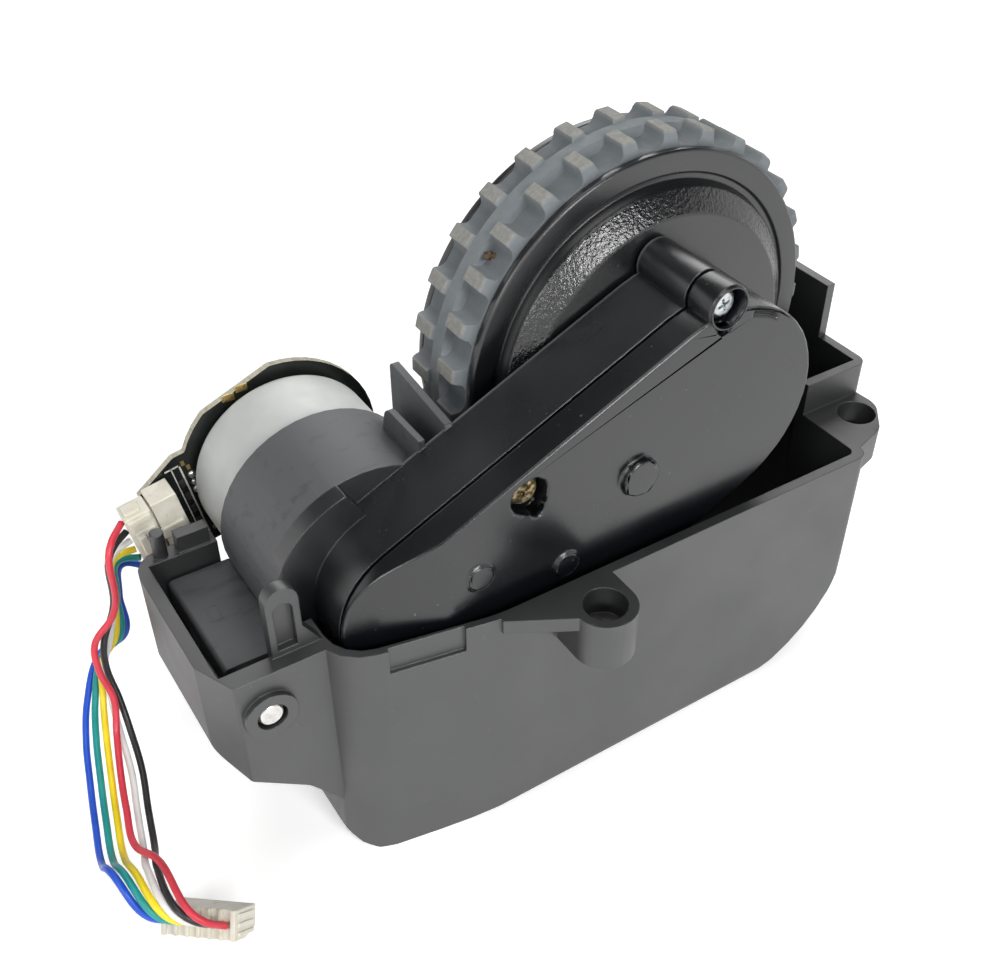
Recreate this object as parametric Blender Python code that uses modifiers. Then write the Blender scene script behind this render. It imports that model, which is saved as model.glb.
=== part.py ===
# Robot vacuum wheel module: sprung gearbox arm with motor and wheel in a moulded housing.
# Metres, +Z up. The housing stands on z = 0. The wheel axis lies along Y at x = 0.
import bpy
import bmesh
from math import atan2, cos, hypot, pi, radians, sin, sqrt, tan
from mathutils import Matrix, Vector

# Axes, as x and z, with the arm swung fully out
WHEEL_AXIS = (0.0, 0.0620)
PIN_AXIS = (-0.0761, 0.0370)
MOTOR_AXIS = (-0.0536, 0.0456)
FIRST_GEAR_AXIS = (-0.0444, 0.0505)
SECOND_GEAR_AXIS = (-0.0296, 0.0458)
THIRD_GEAR_AXIS = (-0.0171, 0.0572)

# Clearances
SEAT_GAP = 0.0003
RUN_GAP = 0.0003

# Tyre and hub
WHEEL_RADIUS = 0.0350
TYRE_WIDTH = 0.0128
TYRE_THICKNESS = 0.0044
LUG_COUNT = 29
LUG_LENGTH = 0.0026
SCOOP_DEPTH = 0.0023
SCOOP_CORNER = 0.0014
BAND_WIDTH = 0.0028
BAND_GROOVE = 0.0012
BAND_DROP = 0.0008
SIDE_DROP = 0.0024
SIDE_SLOPE = 0.0007
RIM_FLANGE_RADIUS = 0.0326
RIM_FLANGE_WIDTH = 0.0012
RIM_WALL = 0.0020
HUB_STEP_RADIUS = 0.0291
HUB_STEP_DROP = 0.0006
HUB_WELL_RADIUS = 0.0279
CONE_RADIUS = 0.02735
CONE_RISE = 0.0013
DISC_RADIUS = 0.0240
DISC_PROUD = 0.0043
HUB_WALL = 0.0020
HUB_BOSS_RADIUS = 0.0060
HUB_BOSS_LENGTH = 0.0146

# Gearbox shells
COVER_FACE_Y = -0.0230
PARTING_Y = -0.0177
BASE_BACK_Y = -0.0062
SHELL_WALL = 0.0014
SHELL_FACE_WALL = 0.0016
NOSE_OFFSET = (-0.0022, 0.0003)
NOSE_RADIUS = 0.0177
TAIL_OFFSET = (0.0022, -0.0008)
TAIL_RADIUS = 0.0128
GEAR_ROOM = 0.0004
SCREW_BOSS_RADIUS = 0.0036
TOP_SCREW = (-0.0031, 0.0808)
MIDDLE_SCREW = (-0.0362, 0.0614)
TAIL_SCREW = (-0.0440, 0.0365)
LOW_SCREW = (-0.0150, 0.0385)
SCREW_HEAD_RADIUS = 0.0023
SCREW_HEAD_HEIGHT = 0.0014
SCREW_SHANK_RADIUS = 0.0011
SCREW_LENGTH = 0.0105
WHEEL_HEAD_RADIUS = 0.0034
WHEEL_HEAD_HEIGHT = 0.0018
WHEEL_SCREW_GRIP = 0.0080
COUNTERBORE_RADIUS = 0.0030
COUNTERBORE_DEPTH = 0.0030
RELIEF_RADIUS = 0.0011
RELIEF_DEPTH = 0.0018
AXLE_RADIUS = 0.0010
AXLE_SEAT_DEPTH = 0.0010
AXLE_BOSS_RADIUS = 0.0022
NOSE_SLOT_INSET = 0.0007
NOSE_SLOT_WIDTH = 0.0007
NOSE_SLOT_DEPTH = 0.0006
NOSE_SLOT_SPAN = (58.0, 76.0)
PLUG_BOSS_RADIUS = 0.0032
PLUG_BOSS_PROUD = 0.0012
LOW_BOSS_PROUD = 0.0005
TAIL_RELIEF_START = -0.0500
TAIL_RELIEF_SLOPE = 0.32

# Motor
CAN_RADIUS = 0.0155
CAN_FRONT_Y = -0.0056
CAN_REAR_Y = 0.0232
SLEEVE_WALL = 0.0009
SLEEVE_END_Y = 0.0097
FLANGE_FRONT_Y = -0.0096
FLANGE_START = 104.0
FLANGE_END = 196.0
END_CAP_RADIUS = 0.0128
END_CAP_THICKNESS = 0.0010
MOTOR_SHAFT_RADIUS = 0.0010
MOTOR_BOSS_RADIUS = 0.0030
MOTOR_SCREW_SPACING = 0.0160
MOTOR_SCREW_HEAD = 0.0005
BOARD_RADIUS = 0.0172
BOARD_THICKNESS = 0.0012
BOARD_GAP = 0.0010
BOARD_TAB_LENGTH = 0.0235
BOARD_TAB_WIDTH = 0.0190
BOARD_TAB_END = 0.0116
BOARD_TAB_TILT = 190.5
BOARD_FLAT_TILT = 112.0
BOARD_FLAT_DROP = 0.0012
MAGNET_RADIUS = 0.0045
MAGNET_THICKNESS = 0.0025

# Connectors, with six ways each
WAYS = 6
HEADER_PITCH = 0.0020
HEADER_SIDE = 0.0016
HEADER_LENGTH = 0.0042
HEADER_HEIGHT = 0.0046
HEADER_WALL = 0.0006
PLUG_LENGTH = 0.0072
PLUG_TONGUE = 0.0030
END_PITCH = 0.0020
END_SIDE = 0.0016
END_THICKNESS = 0.0044
END_LENGTH = 0.0046
END_TAPER = 0.0012
SOCKET_RADIUS = 0.0005
SOCKET_DEPTH = 0.0008
END_CENTRE = (-0.0936, -0.0235, 0.0066)
END_LEAD = (-0.0015, 0.0016, 0.0036)
END_HEADING = -49.3
END_RISE = 17.5
END_ROLL = 47.8
WIRE_RADIUS = 0.00055

# Gear train: module, teeth and width of each wheel
PINION_TEETH = 10
FIRST_LARGE_TEETH = 31
FIRST_SMALL_TEETH = 12
SECOND_LARGE_TEETH = 40
SECOND_SMALL_TEETH = 12
THIRD_LARGE_TEETH = 36
THIRD_SMALL_TEETH = 12
OUTPUT_TEETH = 32
FIRST_STEP_Y = (-0.0090, -0.0123)
SECOND_STEP_Y = (-0.0136, -0.0166)
THIRD_STEP_Y = (-0.0172, -0.0202)
OUTPUT_STEP_Y = (-0.0096, -0.0130)
SHAFT_RADIUS = 0.0030
JOURNAL_RADIUS = 0.0016
BUSH_WALL = 0.0011
BASE_BUSH_LENGTH = 0.0026

# Hinge lug of the arm and pivot pin
PIN_RADIUS = 0.0020
PIN_RECESS = 0.0003
LUG_TOP_Z = 0.0404
LUG_LEFT_X = -0.0794
LUG_RIGHT_X = -0.0693
LUG_Y = (-0.0108, 0.0108)
LUG_BARREL_RADIUS = 0.0040
LEVER_LENGTH = 0.0080
FIN_X = -0.0395
FIN_THICKNESS = 0.0012
FIN_LOW_Z = 0.0652
FIN_HIGH_Z = 0.0670
RIB_X = -0.0440
RIB_TOP_Z = 0.0640
RIB_ROUND = 0.0022
FIN_ROUND = 0.0009

# Housing
WALL = 0.0017
FLOOR_WALL = 0.0017
RIM_Z = 0.0443
NEAR_Y = -0.0270
FAR_Y = 0.0180
TUB_LEFT_X = -0.0675
NEAR_RIGHT_X = 0.0296
BEND_X = -0.0395
CORNER_Y = -0.0220
SLANT_RELIEF = 0.0006
TUB_CORNER = 0.0080
NEAR_ARCH_RADIUS = 0.0258
WELL_NEAR_Y = -0.0127
WELL_RIGHT_X = 0.0420
WELL_ARCH_RADIUS = 0.0310
LOW_STEP_Z = 0.0504
HIGH_STEP_Z = 0.0608
HIGH_STEP_Y = -0.0021
FAR_SLOPE_X = (-0.0200, 0.0010)
MOTOR_SILL_Z = 0.0170
MOTOR_GAP_X = (-0.0706, -0.0340)
BLOCK_LEFT_X = -0.0835
BLOCK_NEAR_Y = -0.0183
BLOCK_FAR_Y = 0.0140
BLOCK_NEAR_WALL = 0.0030
BLOCK_FAR_WALL = 0.0028
BLOCK_LEFT_WALL = 0.0020
BLOCK_DROP_Z = 0.0270
BLOCK_FOOT_X = -0.0720
BLOCK_FOOT_Z = 0.0178
POCKET_RIGHT_X = -0.0693
PASSAGE_Y = -0.0116
PIN_BOSS_RADIUS = 0.0040
PIN_BOSS_PROUD = 0.0010
EAR_RADIUS = 0.0049
EAR_HOLE_RADIUS = 0.0019
EAR_COUNTERBORE_RADIUS = 0.0034
EAR_COUNTERBORE_DEPTH = 0.0050
NEAR_EAR = (-0.0287, -0.0319)
NEAR_EAR_DEPTH = 0.0085
RIGHT_EAR = (0.0362, -0.0172)
RIGHT_EAR_DEPTH = 0.0060
NOTCH_X = (-0.0600, -0.0485)
NOTCH_DEPTH_Z = 0.0062
NOTCH_SET_BACK = 0.0007
GUIDE_X = (-0.0737, -0.0688)
GUIDE_Y = (-0.0160, -0.0140)
GUIDE_TOP_Z = 0.0552
POST_RADIUS = 0.0011

# Arm spring
SPRING_RADIUS = 0.0018
SPRING_WIRE = 0.00030
SPRING_TURNS = 10
SPRING_Y = 0.0045
SPRING_POST = (-0.0440, 0.0100)
SPRING_STAND_THICKNESS = 0.0016
LEVER_THICKNESS = 0.0030

ROUND_STEPS = 40
SMALL_STEPS = 14
WHEEL_STEPS = 52
WELD = 0.000001

parts = None
cutters = None


def start_scene():
    """Empty the scene and make the collections for the parts and for the cutters."""
    global parts, cutters
    for item in list(bpy.data.objects):
        bpy.data.objects.remove(item, do_unlink=True)
    parts = bpy.data.collections.new("wheel_module")
    cutters = bpy.data.collections.new("cutters")
    bpy.context.scene.collection.children.link(parts)
    bpy.context.scene.collection.children.link(cutters)


def material(name, colour, roughness, metallic=0.0):
    surface = bpy.data.materials.new(name)
    surface.use_nodes = True
    shader = surface.node_tree.nodes["Principled BSDF"]
    shader.inputs["Base Color"].default_value = (*colour, 1.0)
    shader.inputs["Roughness"].default_value = roughness
    shader.inputs["Metallic"].default_value = metallic
    return surface


def as_part(item, surface, parent=None):
    """Make the object a named piece of the module, with its finish and its parent."""
    for holder in list(item.users_collection):
        holder.objects.unlink(item)
    parts.objects.link(item)
    item.data.materials.clear()
    item.data.materials.append(surface)
    if parent is not None:
        item.parent = parent
        item.matrix_parent_inverse = parent.matrix_world.inverted()
    item.data.shade_smooth()
    item.data.set_sharp_from_angle(angle=radians(32.0))
    return item


def as_tool(item):
    """Hide an object that only cuts or joins another."""
    for holder in list(item.users_collection):
        holder.objects.unlink(item)
    cutters.objects.link(item)
    item.hide_render = True
    item.display_type = "WIRE"
    return item


def boolean(target, tool, operation):
    as_tool(tool)
    step = target.modifiers.new(operation.lower() + "_" + tool.name, "BOOLEAN")
    step.operation = operation
    step.solver = "EXACT"
    step.object = tool
    return target


def cut(target, *tools):
    for tool in tools:
        boolean(target, tool, "DIFFERENCE")
    return target


def join(target, *tools):
    for tool in tools:
        boolean(target, tool, "UNION")
    return target


def common(target, *tools):
    for tool in tools:
        boolean(target, tool, "INTERSECT")
    return target


def mesh_object(name, form):
    mesh = bpy.data.meshes.new(name)
    form.to_mesh(mesh)
    form.free()
    item = bpy.data.objects.new(name, mesh)
    cutters.objects.link(item)
    return item


def arc(centre, radius, start, end, steps):
    """Points on a circle from one angle to another, in degrees."""
    turns = [radians(start + (end - start) * i / steps) for i in range(steps + 1)]
    return [(centre[0] + radius * cos(t), centre[1] + radius * sin(t)) for t in turns]


def rounded(corners, steps=4):
    """An outline with each corner (x, y, radius) rounded by an arc."""
    outline = []
    count = len(corners)
    for i, (x, y, radius) in enumerate(corners):
        if radius <= 0.0:
            outline.append((x, y))
            continue
        here = Vector((x, y))
        before = (Vector(corners[i - 1][:2]) - here).normalized()
        after = (Vector(corners[(i + 1) % count][:2]) - here).normalized()
        half = before.angle(after) / 2
        centre = here + (before + after).normalized() * (radius / sin(half))
        first = here + before * (radius / tan(half)) - centre
        last = here + after * (radius / tan(half)) - centre
        begin = atan2(first.y, first.x)
        sweep = atan2(last.y, last.x) - begin
        sweep = (sweep + pi) % (2 * pi) - pi
        for k in range(steps + 1):
            turn = begin + sweep * k / steps
            outline.append((centre.x + radius * cos(turn), centre.y + radius * sin(turn)))
    return outline


def wrap(circles, steps):
    """The outline of a belt laid round circles (x, y, radius)."""
    dots = []
    for x, y, radius in circles:
        dots += arc((x, y), radius, 0.0, 360.0 - 360.0 / steps, steps - 1)
    dots = sorted(set(dots))
    sides = []
    for order in (dots, dots[::-1]):
        side = []
        for dot in order:
            while len(side) > 1 and turn_of(side[-2], side[-1], dot) <= 0.0:
                side.pop()
            side.append(dot)
        sides += side[:-1]
    return sides


def turn_of(a, b, c):
    return (b[0] - a[0]) * (c[1] - a[1]) - (b[1] - a[1]) * (c[0] - a[0])


def slab(name, loops, low, high, plane="XZ"):
    """A flat outline, with any holes as further loops, extruded from low to high."""
    curve = bpy.data.curves.new(name, "CURVE")
    curve.dimensions = "2D"
    curve.fill_mode = "BOTH"
    curve.extrude = (high - low) / 2
    for loop in loops:
        spline = curve.splines.new("POLY")
        spline.points.add(len(loop) - 1)
        spline.use_cyclic_u = True
        for point, (across, up) in zip(spline.points, loop):
            point.co = (across, up, 0.0, 1.0)
    drawn = bpy.data.objects.new(name + "_outline", curve)
    cutters.objects.link(drawn)
    middle = (low + high) / 2
    if plane == "XZ":
        drawn.matrix_world = Matrix.Translation((0.0, middle, 0.0)) @ Matrix.Rotation(pi / 2, 4, "X")
    elif plane == "YZ":
        turn = Matrix.Rotation(pi / 2, 4, "Z") @ Matrix.Rotation(pi / 2, 4, "X")
        drawn.matrix_world = Matrix.Translation((middle, 0.0, 0.0)) @ turn
    else:
        drawn.matrix_world = Matrix.Translation((0.0, 0.0, middle))
    return solid_of(name, drawn)


def solid_of(name, drawn):
    """The welded mesh of a curve object, which it replaces."""
    bpy.context.view_layer.update()
    graph = bpy.context.evaluated_depsgraph_get()
    mesh = bpy.data.meshes.new_from_object(drawn.evaluated_get(graph))
    form = bmesh.new()
    form.from_mesh(mesh)
    bmesh.ops.remove_doubles(form, verts=form.verts, dist=WELD)
    bmesh.ops.recalc_face_normals(form, faces=form.faces)
    item = mesh_object(name, form)
    item.matrix_world = drawn.matrix_world.copy()
    bpy.data.objects.remove(drawn, do_unlink=True)
    bpy.data.meshes.remove(mesh)
    return item


def rod(name, axis, radius, low, high, steps=SMALL_STEPS):
    """A cylinder along Y about the axis (x, z)."""
    form = bmesh.new()
    bmesh.ops.create_cone(form, cap_ends=True, segments=steps, radius1=radius, radius2=radius,
                          depth=high - low)
    item = mesh_object(name, form)
    item.location = (axis[0], (low + high) / 2, axis[1])
    item.rotation_euler = (pi / 2, 0.0, 0.0)
    return item


def post(name, x, y, radius, low, high, steps=SMALL_STEPS):
    """A cylinder along Z."""
    form = bmesh.new()
    bmesh.ops.create_cone(form, cap_ends=True, segments=steps, radius1=radius, radius2=radius,
                          depth=high - low)
    item = mesh_object(name, form)
    item.location = (x, y, (low + high) / 2)
    return item


def box(name, x, y, z):
    """A block between the given pairs of x, y and z."""
    form = bmesh.new()
    bmesh.ops.create_cube(form, size=1.0)
    bmesh.ops.scale(form, vec=(x[1] - x[0], y[1] - y[0], z[1] - z[0]), verts=form.verts)
    item = mesh_object(name, form)
    item.location = ((x[0] + x[1]) / 2, (y[0] + y[1]) / 2, (z[0] + z[1]) / 2)
    return item


def turned(name, axis, profile, steps, closed=False):
    """A profile of (radius, y), far end first down its outer side, turned about Y."""
    form = bmesh.new()
    dots = [form.verts.new((radius, 0.0, along)) for radius, along in profile]
    for first, last in zip(dots, dots[1:]):
        form.edges.new((first, last))
    if closed:
        form.edges.new((dots[-1], dots[0]))
    item = mesh_object(name, form)
    item.location = (axis[0], 0.0, axis[1])
    item.rotation_euler = (-pi / 2, 0.0, 0.0)
    turning = item.modifiers.new("turning", "SCREW")
    turning.steps = steps
    turning.render_steps = steps
    turning.use_merge_vertices = True
    turning.merge_threshold = 0.00001
    return item


def offset(point, shift):
    return (point[0] + shift[0], point[1] + shift[1])


def gear_module(first, second, first_teeth, second_teeth):
    """The module that lets two gears mesh on their two axes."""
    return 2 * hypot(second[0] - first[0], second[1] - first[1]) / (first_teeth + second_teeth)


def gear_loop(module, teeth, lead):
    """The tooth outline of a gear about its own centre, with one tooth at the lead angle."""
    pitch_radius = module * teeth / 2
    tip = pitch_radius + 0.85 * module
    root = pitch_radius - 1.15 * module
    step = 2 * pi / teeth
    outline = []
    for i in range(teeth):
        middle = lead + i * step
        for radius, share in ((root, -0.32), (tip, -0.12), (tip, 0.12), (root, 0.32)):
            turn = middle + share * step
            outline.append((radius * cos(turn), radius * sin(turn)))
    return outline


def circle_loop(radius, steps=SMALL_STEPS):
    return arc((0.0, 0.0), radius, 0.0, 360.0 - 360.0 / steps, steps - 1)


def gear_disc(name, axis, module, teeth, lead, low, high, bore):
    disc = slab(name, [gear_loop(module, teeth, lead), circle_loop(bore)], low, high)
    disc.location = (axis[0], disc.location.y, axis[1])
    return disc


def heading(first, second):
    return atan2(second[1] - first[1], second[0] - first[0])


def mesh_lead(first, second, first_lead, first_teeth, second_teeth):
    """The lead that puts a gap of the second gear at a tooth of the first one."""
    line = heading(first, second)
    phase = (line - first_lead) * first_teeth / (2 * pi)
    return line + pi + (phase + 0.5) * 2 * pi / second_teeth


def wire_through(route, step):
    """Points at an even step on a smooth curve through the route's points."""
    spots = [Vector(point) for point in route]
    spots = [2 * spots[0] - spots[1]] + spots + [2 * spots[-1] - spots[-2]]
    fine = []
    for a, b, c, d in zip(spots, spots[1:], spots[2:], spots[3:]):
        for k in range(20):
            t = k / 20
            fine.append(0.5 * (2 * b + (c - a) * t + (2 * a - 5 * b + 4 * c - d) * t * t
                               + (3 * b - a - 3 * c + d) * t * t * t))
    fine.append(spots[-2])
    length = sum((b - a).length for a, b in zip(fine, fine[1:]))
    count = max(2, round(length / step))
    points = [fine[0]]
    walked = 0.0
    for a, b in zip(fine, fine[1:]):
        reach = (b - a).length
        while len(points) < count and walked + reach >= length * len(points) / count:
            share = (length * len(points) / count - walked) / reach
            points.append(a.lerp(b, share))
        walked += reach
    points.append(fine[-1])
    return points


def tube(name, points, radius, resolution):
    curve = bpy.data.curves.new(name, "CURVE")
    curve.dimensions = "3D"
    curve.bevel_depth = radius
    curve.bevel_resolution = resolution
    curve.use_fill_caps = True
    spline = curve.splines.new("POLY")
    spline.points.add(len(points) - 1)
    for point, place in zip(spline.points, points):
        point.co = (*place, 1.0)
    drawn = bpy.data.objects.new(name + "_path", curve)
    cutters.objects.link(drawn)
    return solid_of(name, drawn)


def pivot_empty(name, axis):
    mark = bpy.data.objects.new(name, None)
    mark.location = (axis[0], 0.0, axis[1])
    parts.objects.link(mark)
    bpy.context.view_layer.update()
    return mark


def tub_plan(inset):
    """Plan outline of the tub's near chamber, thinner in its slanted wall to clear the arm."""
    relief = SLANT_RELIEF if inset else 0.0
    bend_shift = relief * (BEND_X - TUB_LEFT_X) / (CORNER_Y - NEAR_Y)
    return rounded([
        (NEAR_RIGHT_X - inset, NEAR_Y + inset, 0.0022 - inset / 2),
        (NEAR_RIGHT_X - inset, WELL_NEAR_Y + 0.004, 0.0),
        (TUB_LEFT_X + inset, WELL_NEAR_Y + 0.004, 0.0),
        (TUB_LEFT_X + inset, CORNER_Y + inset - relief, TUB_CORNER - inset),
        (BEND_X - bend_shift, NEAR_Y + inset, 0.0300),
    ])


def near_side(inset):
    """Side outline of the near chamber, with its quarter-round right end."""
    top = RIM_Z + (0.01 if inset else 0.0)
    floor = FLOOR_WALL if inset else 0.0
    return rounded([
        (TUB_LEFT_X + inset, floor, 0.0050),
        (NEAR_RIGHT_X - inset, floor, NEAR_ARCH_RADIUS - inset),
        (NEAR_RIGHT_X - inset, top, 0.0),
        (TUB_LEFT_X + inset, top, 0.0),
    ], 10)


def well_side(inset):
    """Side outline of the wheel well, whose right end follows the retracted wheel."""
    high = HIGH_STEP_Z + (0.01 if inset else 0.0)
    floor = FLOOR_WALL if inset else 0.0
    if inset:
        top = [(WELL_RIGHT_X - inset, high, 0.0), (TUB_LEFT_X + inset, high, 0.0)]
    else:
        top = [
            (WELL_RIGHT_X, high, 0.0),
            (FAR_SLOPE_X[1], high, 0.0060),
            (FAR_SLOPE_X[0], RIM_Z, 0.0060),
            (TUB_LEFT_X, RIM_Z, 0.0),
        ]
    return rounded([
        (TUB_LEFT_X + inset, floor, 0.0050),
        (WELL_RIGHT_X - inset, floor, WELL_ARCH_RADIUS - inset),
    ] + top, 10)


def make_housing(plastic):
    near = slab("housing", [tub_plan(0.0)], 0.0, RIM_Z, "XY")
    common(near, slab("near_side", [near_side(0.0)], NEAR_Y - 0.001, WELL_NEAR_Y + 0.006))
    edge = rounded([
        (NEAR_Y, 0.0, 0.0025), (FAR_Y, 0.0, 0.0), (FAR_Y, RIM_Z, 0.0), (NEAR_Y, RIM_Z, 0.0),
    ])
    common(near, slab("near_edge", [edge], TUB_LEFT_X - 0.001, NEAR_RIGHT_X + 0.001, "YZ"))

    well = slab("well", [well_side(0.0)], WELL_NEAR_Y, FAR_Y)
    well_plan = rounded([
        (TUB_LEFT_X, WELL_NEAR_Y, 0.0), (WELL_RIGHT_X, WELL_NEAR_Y, 0.0020),
        (WELL_RIGHT_X, FAR_Y, 0.0030), (TUB_LEFT_X, FAR_Y, 0.0030),
    ])
    common(well, slab("well_plan", [well_plan], -0.001, HIGH_STEP_Z + 0.001, "XY"))
    cut(well, box("low_step", (-0.080, 0.050), (WELL_NEAR_Y - 0.001, HIGH_STEP_Y),
                  (LOW_STEP_Z, 0.080)))

    block_side = rounded([
        (TUB_LEFT_X + 0.004, 0.0060, 0.0), (TUB_LEFT_X + 0.004, RIM_Z, 0.0),
        (BLOCK_LEFT_X, RIM_Z, 0.0), (BLOCK_LEFT_X, BLOCK_DROP_Z, 0.0030),
        (BLOCK_FOOT_X, BLOCK_FOOT_Z, 0.0060),
    ])
    block = slab("block", [block_side], BLOCK_NEAR_Y, BLOCK_FAR_Y)
    block_plan = rounded([
        (BLOCK_LEFT_X, BLOCK_NEAR_Y + 0.0067, 0.0010), (BLOCK_LEFT_X + 0.0030, BLOCK_NEAR_Y, 0.0006),
        (TUB_LEFT_X + 0.005, BLOCK_NEAR_Y, 0.0), (TUB_LEFT_X + 0.005, BLOCK_FAR_Y, 0.0),
        (BLOCK_LEFT_X, BLOCK_FAR_Y, 0.0045),
    ])
    common(block, slab("block_plan", [block_plan], 0.0, RIM_Z + 0.001, "XY"))
    join(near, well, block)
    join(near, rod("pin_boss", PIN_AXIS, PIN_BOSS_RADIUS, BLOCK_NEAR_Y - PIN_BOSS_PROUD,
                   BLOCK_NEAR_Y + 0.001, 20))
    join_ears(near)

    inner = slab("near_room", [tub_plan(WALL)], FLOOR_WALL, RIM_Z + 0.010, "XY")
    common(inner, slab("near_room_side", [near_side(WALL)], NEAR_Y, WELL_NEAR_Y + 0.006))
    cut(near, inner)
    cut(near, slab("well_room", [well_side(WALL)], WELL_NEAR_Y + WALL, FAR_Y - WALL))
    pocket_side = rounded([
        (POCKET_RIGHT_X + 0.0010, 0.0205, 0.0), (POCKET_RIGHT_X + 0.0010, RIM_Z + 0.010, 0.0),
        (BLOCK_LEFT_X + BLOCK_LEFT_WALL, RIM_Z + 0.010, 0.0),
        (BLOCK_LEFT_X + BLOCK_LEFT_WALL, BLOCK_DROP_Z + 0.0020, 0.0020),
    ])
    cut(near, slab("pocket", [pocket_side], BLOCK_NEAR_Y + BLOCK_NEAR_WALL,
                   BLOCK_FAR_Y - BLOCK_FAR_WALL))
    cut(near, box("passage", (POCKET_RIGHT_X, TUB_LEFT_X + WALL + 0.001),
                  (PASSAGE_Y, BLOCK_FAR_Y - BLOCK_FAR_WALL), (0.0205, RIM_Z + 0.010)))
    cut(near, box("motor_gap", MOTOR_GAP_X, (BLOCK_FAR_Y - BLOCK_FAR_WALL - 0.001, FAR_Y + 0.001),
                  (MOTOR_SILL_Z, 0.080)))
    cut(near, rod("pin_bore", PIN_AXIS, PIN_RADIUS + SEAT_GAP, BLOCK_NEAR_Y - 0.002,
                  BLOCK_FAR_Y - 0.0010, 20))
    cut_ears(near)
    cut_notch(near)
    join_guide(near)
    join_spring_stand(near)
    return as_part(near, plastic)


def join_ears(housing):
    """Screw ears: a tall column on the near wall, and a lug beside the well's corner."""
    x, y = NEAR_EAR
    column = slab("near_ear", [rounded([
        (x - EAR_RADIUS, NEAR_Y + 0.001, 0.0), (x - EAR_RADIUS, y - EAR_RADIUS, EAR_RADIUS * 0.98),
        (x + EAR_RADIUS, y - EAR_RADIUS, EAR_RADIUS * 0.98), (x + EAR_RADIUS, NEAR_Y + 0.001, 0.0),
    ], 8)], RIM_Z - NEAR_EAR_DEPTH, RIM_Z, "XY")
    web = slab("near_web", [[
        (x - EAR_RADIUS - 0.0095, NEAR_Y + 0.001), (x - EAR_RADIUS - 0.0095, NEAR_Y),
        (x - EAR_RADIUS + 0.0010, y - 0.0010), (x, y), (x, NEAR_Y + 0.001),
    ]], RIM_Z - 0.0025, RIM_Z, "XY")
    x, y = RIGHT_EAR
    ear = slab("right_ear", [rounded([
        (NEAR_RIGHT_X - 0.001, WELL_NEAR_Y + 0.001, 0.0),
        (NEAR_RIGHT_X - 0.001, y - EAR_RADIUS - 0.0030, 0.0),
        (x, y - EAR_RADIUS - 0.0008, 0.0040),
        (x + EAR_RADIUS, y, 0.0046),
        (x + EAR_RADIUS - 0.0004, WELL_NEAR_Y + 0.001, 0.0),
    ], 8)], RIM_Z - RIGHT_EAR_DEPTH, RIM_Z, "XY")
    join(housing, column, web, ear)


def cut_ears(housing):
    for name, (x, y) in (("near", NEAR_EAR), ("right", RIGHT_EAR)):
        cut(housing, post(name + "_ear_hole", x, y, EAR_HOLE_RADIUS, RIM_Z - 0.020, RIM_Z + 0.001))
        cut(housing, post(name + "_ear_recess", x, y, EAR_COUNTERBORE_RADIUS,
                          RIM_Z - EAR_COUNTERBORE_DEPTH, RIM_Z + 0.001, 20))


def cut_notch(housing):
    """A shallow recess in the near rim, with a sloping ledge at its foot."""
    notch = slab("notch", [[
        (-0.040, RIM_Z + 0.001), (-0.040, RIM_Z - NOTCH_DEPTH_Z),
        (NEAR_Y + NOTCH_SET_BACK, RIM_Z - NOTCH_DEPTH_Z + 0.0018),
        (NEAR_Y + NOTCH_SET_BACK, RIM_Z + 0.001),
    ]], NOTCH_X[0], NOTCH_X[1], "YZ")
    lean = Matrix.Rotation(-atan2(NEAR_Y - CORNER_Y, BEND_X - TUB_LEFT_X), 4, "Z")
    hold = Matrix.Translation((BEND_X, NEAR_Y, 0.0))
    notch.matrix_world = hold @ lean.inverted() @ hold.inverted() @ notch.matrix_world
    cut(housing, notch)


def join_guide(housing):
    """The arched tab between pivot block and tub, and the two posts at the pocket's far end."""
    middle = (GUIDE_X[0] + GUIDE_X[1]) / 2
    half = (GUIDE_X[1] - GUIDE_X[0]) / 2
    tab = slab("guide", [[(GUIDE_X[0], RIM_Z - 0.020), (GUIDE_X[1] + 0.0025, RIM_Z - 0.020),
                          (GUIDE_X[1] + 0.0025, RIM_Z), (GUIDE_X[1], RIM_Z + 0.004)]
                         + arc((middle, GUIDE_TOP_Z - 0.0014), half, 0.0, 180.0, 8)],
               GUIDE_Y[0], GUIDE_Y[1])
    hollow = slab("guide_hollow", [[(GUIDE_X[0] + 0.0010, RIM_Z + 0.0010),
                                    (GUIDE_X[1] - 0.0010, RIM_Z + 0.0010)]
                                   + arc((middle, GUIDE_TOP_Z - 0.0030), half - 0.0010,
                                         0.0, 180.0, 8)],
                  GUIDE_Y[0] - 0.001, GUIDE_Y[1] - 0.0008)
    cut(tab, hollow)
    far = BLOCK_FAR_Y - BLOCK_FAR_WALL / 2
    left_post = post("left_post", BLOCK_LEFT_X + 0.0045, far, POST_RADIUS, RIM_Z - 0.004,
                     RIM_Z + 0.0045, 12)
    clip = box("clip", (BLOCK_LEFT_X + 0.0070, BLOCK_LEFT_X + 0.0120), (far - 0.0010, far + 0.0010),
               (RIM_Z - 0.003, RIM_Z + 0.0030))
    join(housing, tab, left_post, clip)


def join_spring_stand(housing):
    """A plate on the tub's floor with the cross post that holds the spring's lower hook."""
    x, z = SPRING_POST
    face = SPRING_Y - SPRING_RADIUS - SPRING_WIRE - SEAT_GAP
    stand = rounded([
        (x - 0.0050, FLOOR_WALL / 2, 0.0), (x + 0.0050, FLOOR_WALL / 2, 0.0),
        (x + 0.0022, z + 0.0022, 0.0022), (x - 0.0022, z + 0.0022, 0.0022),
    ])
    join(housing, slab("spring_stand", [stand], face - SPRING_STAND_THICKNESS, face))
    join(housing, rod("spring_post", SPRING_POST, POST_RADIUS, face - 0.0005, SPRING_Y + 0.0010, 12))


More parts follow.
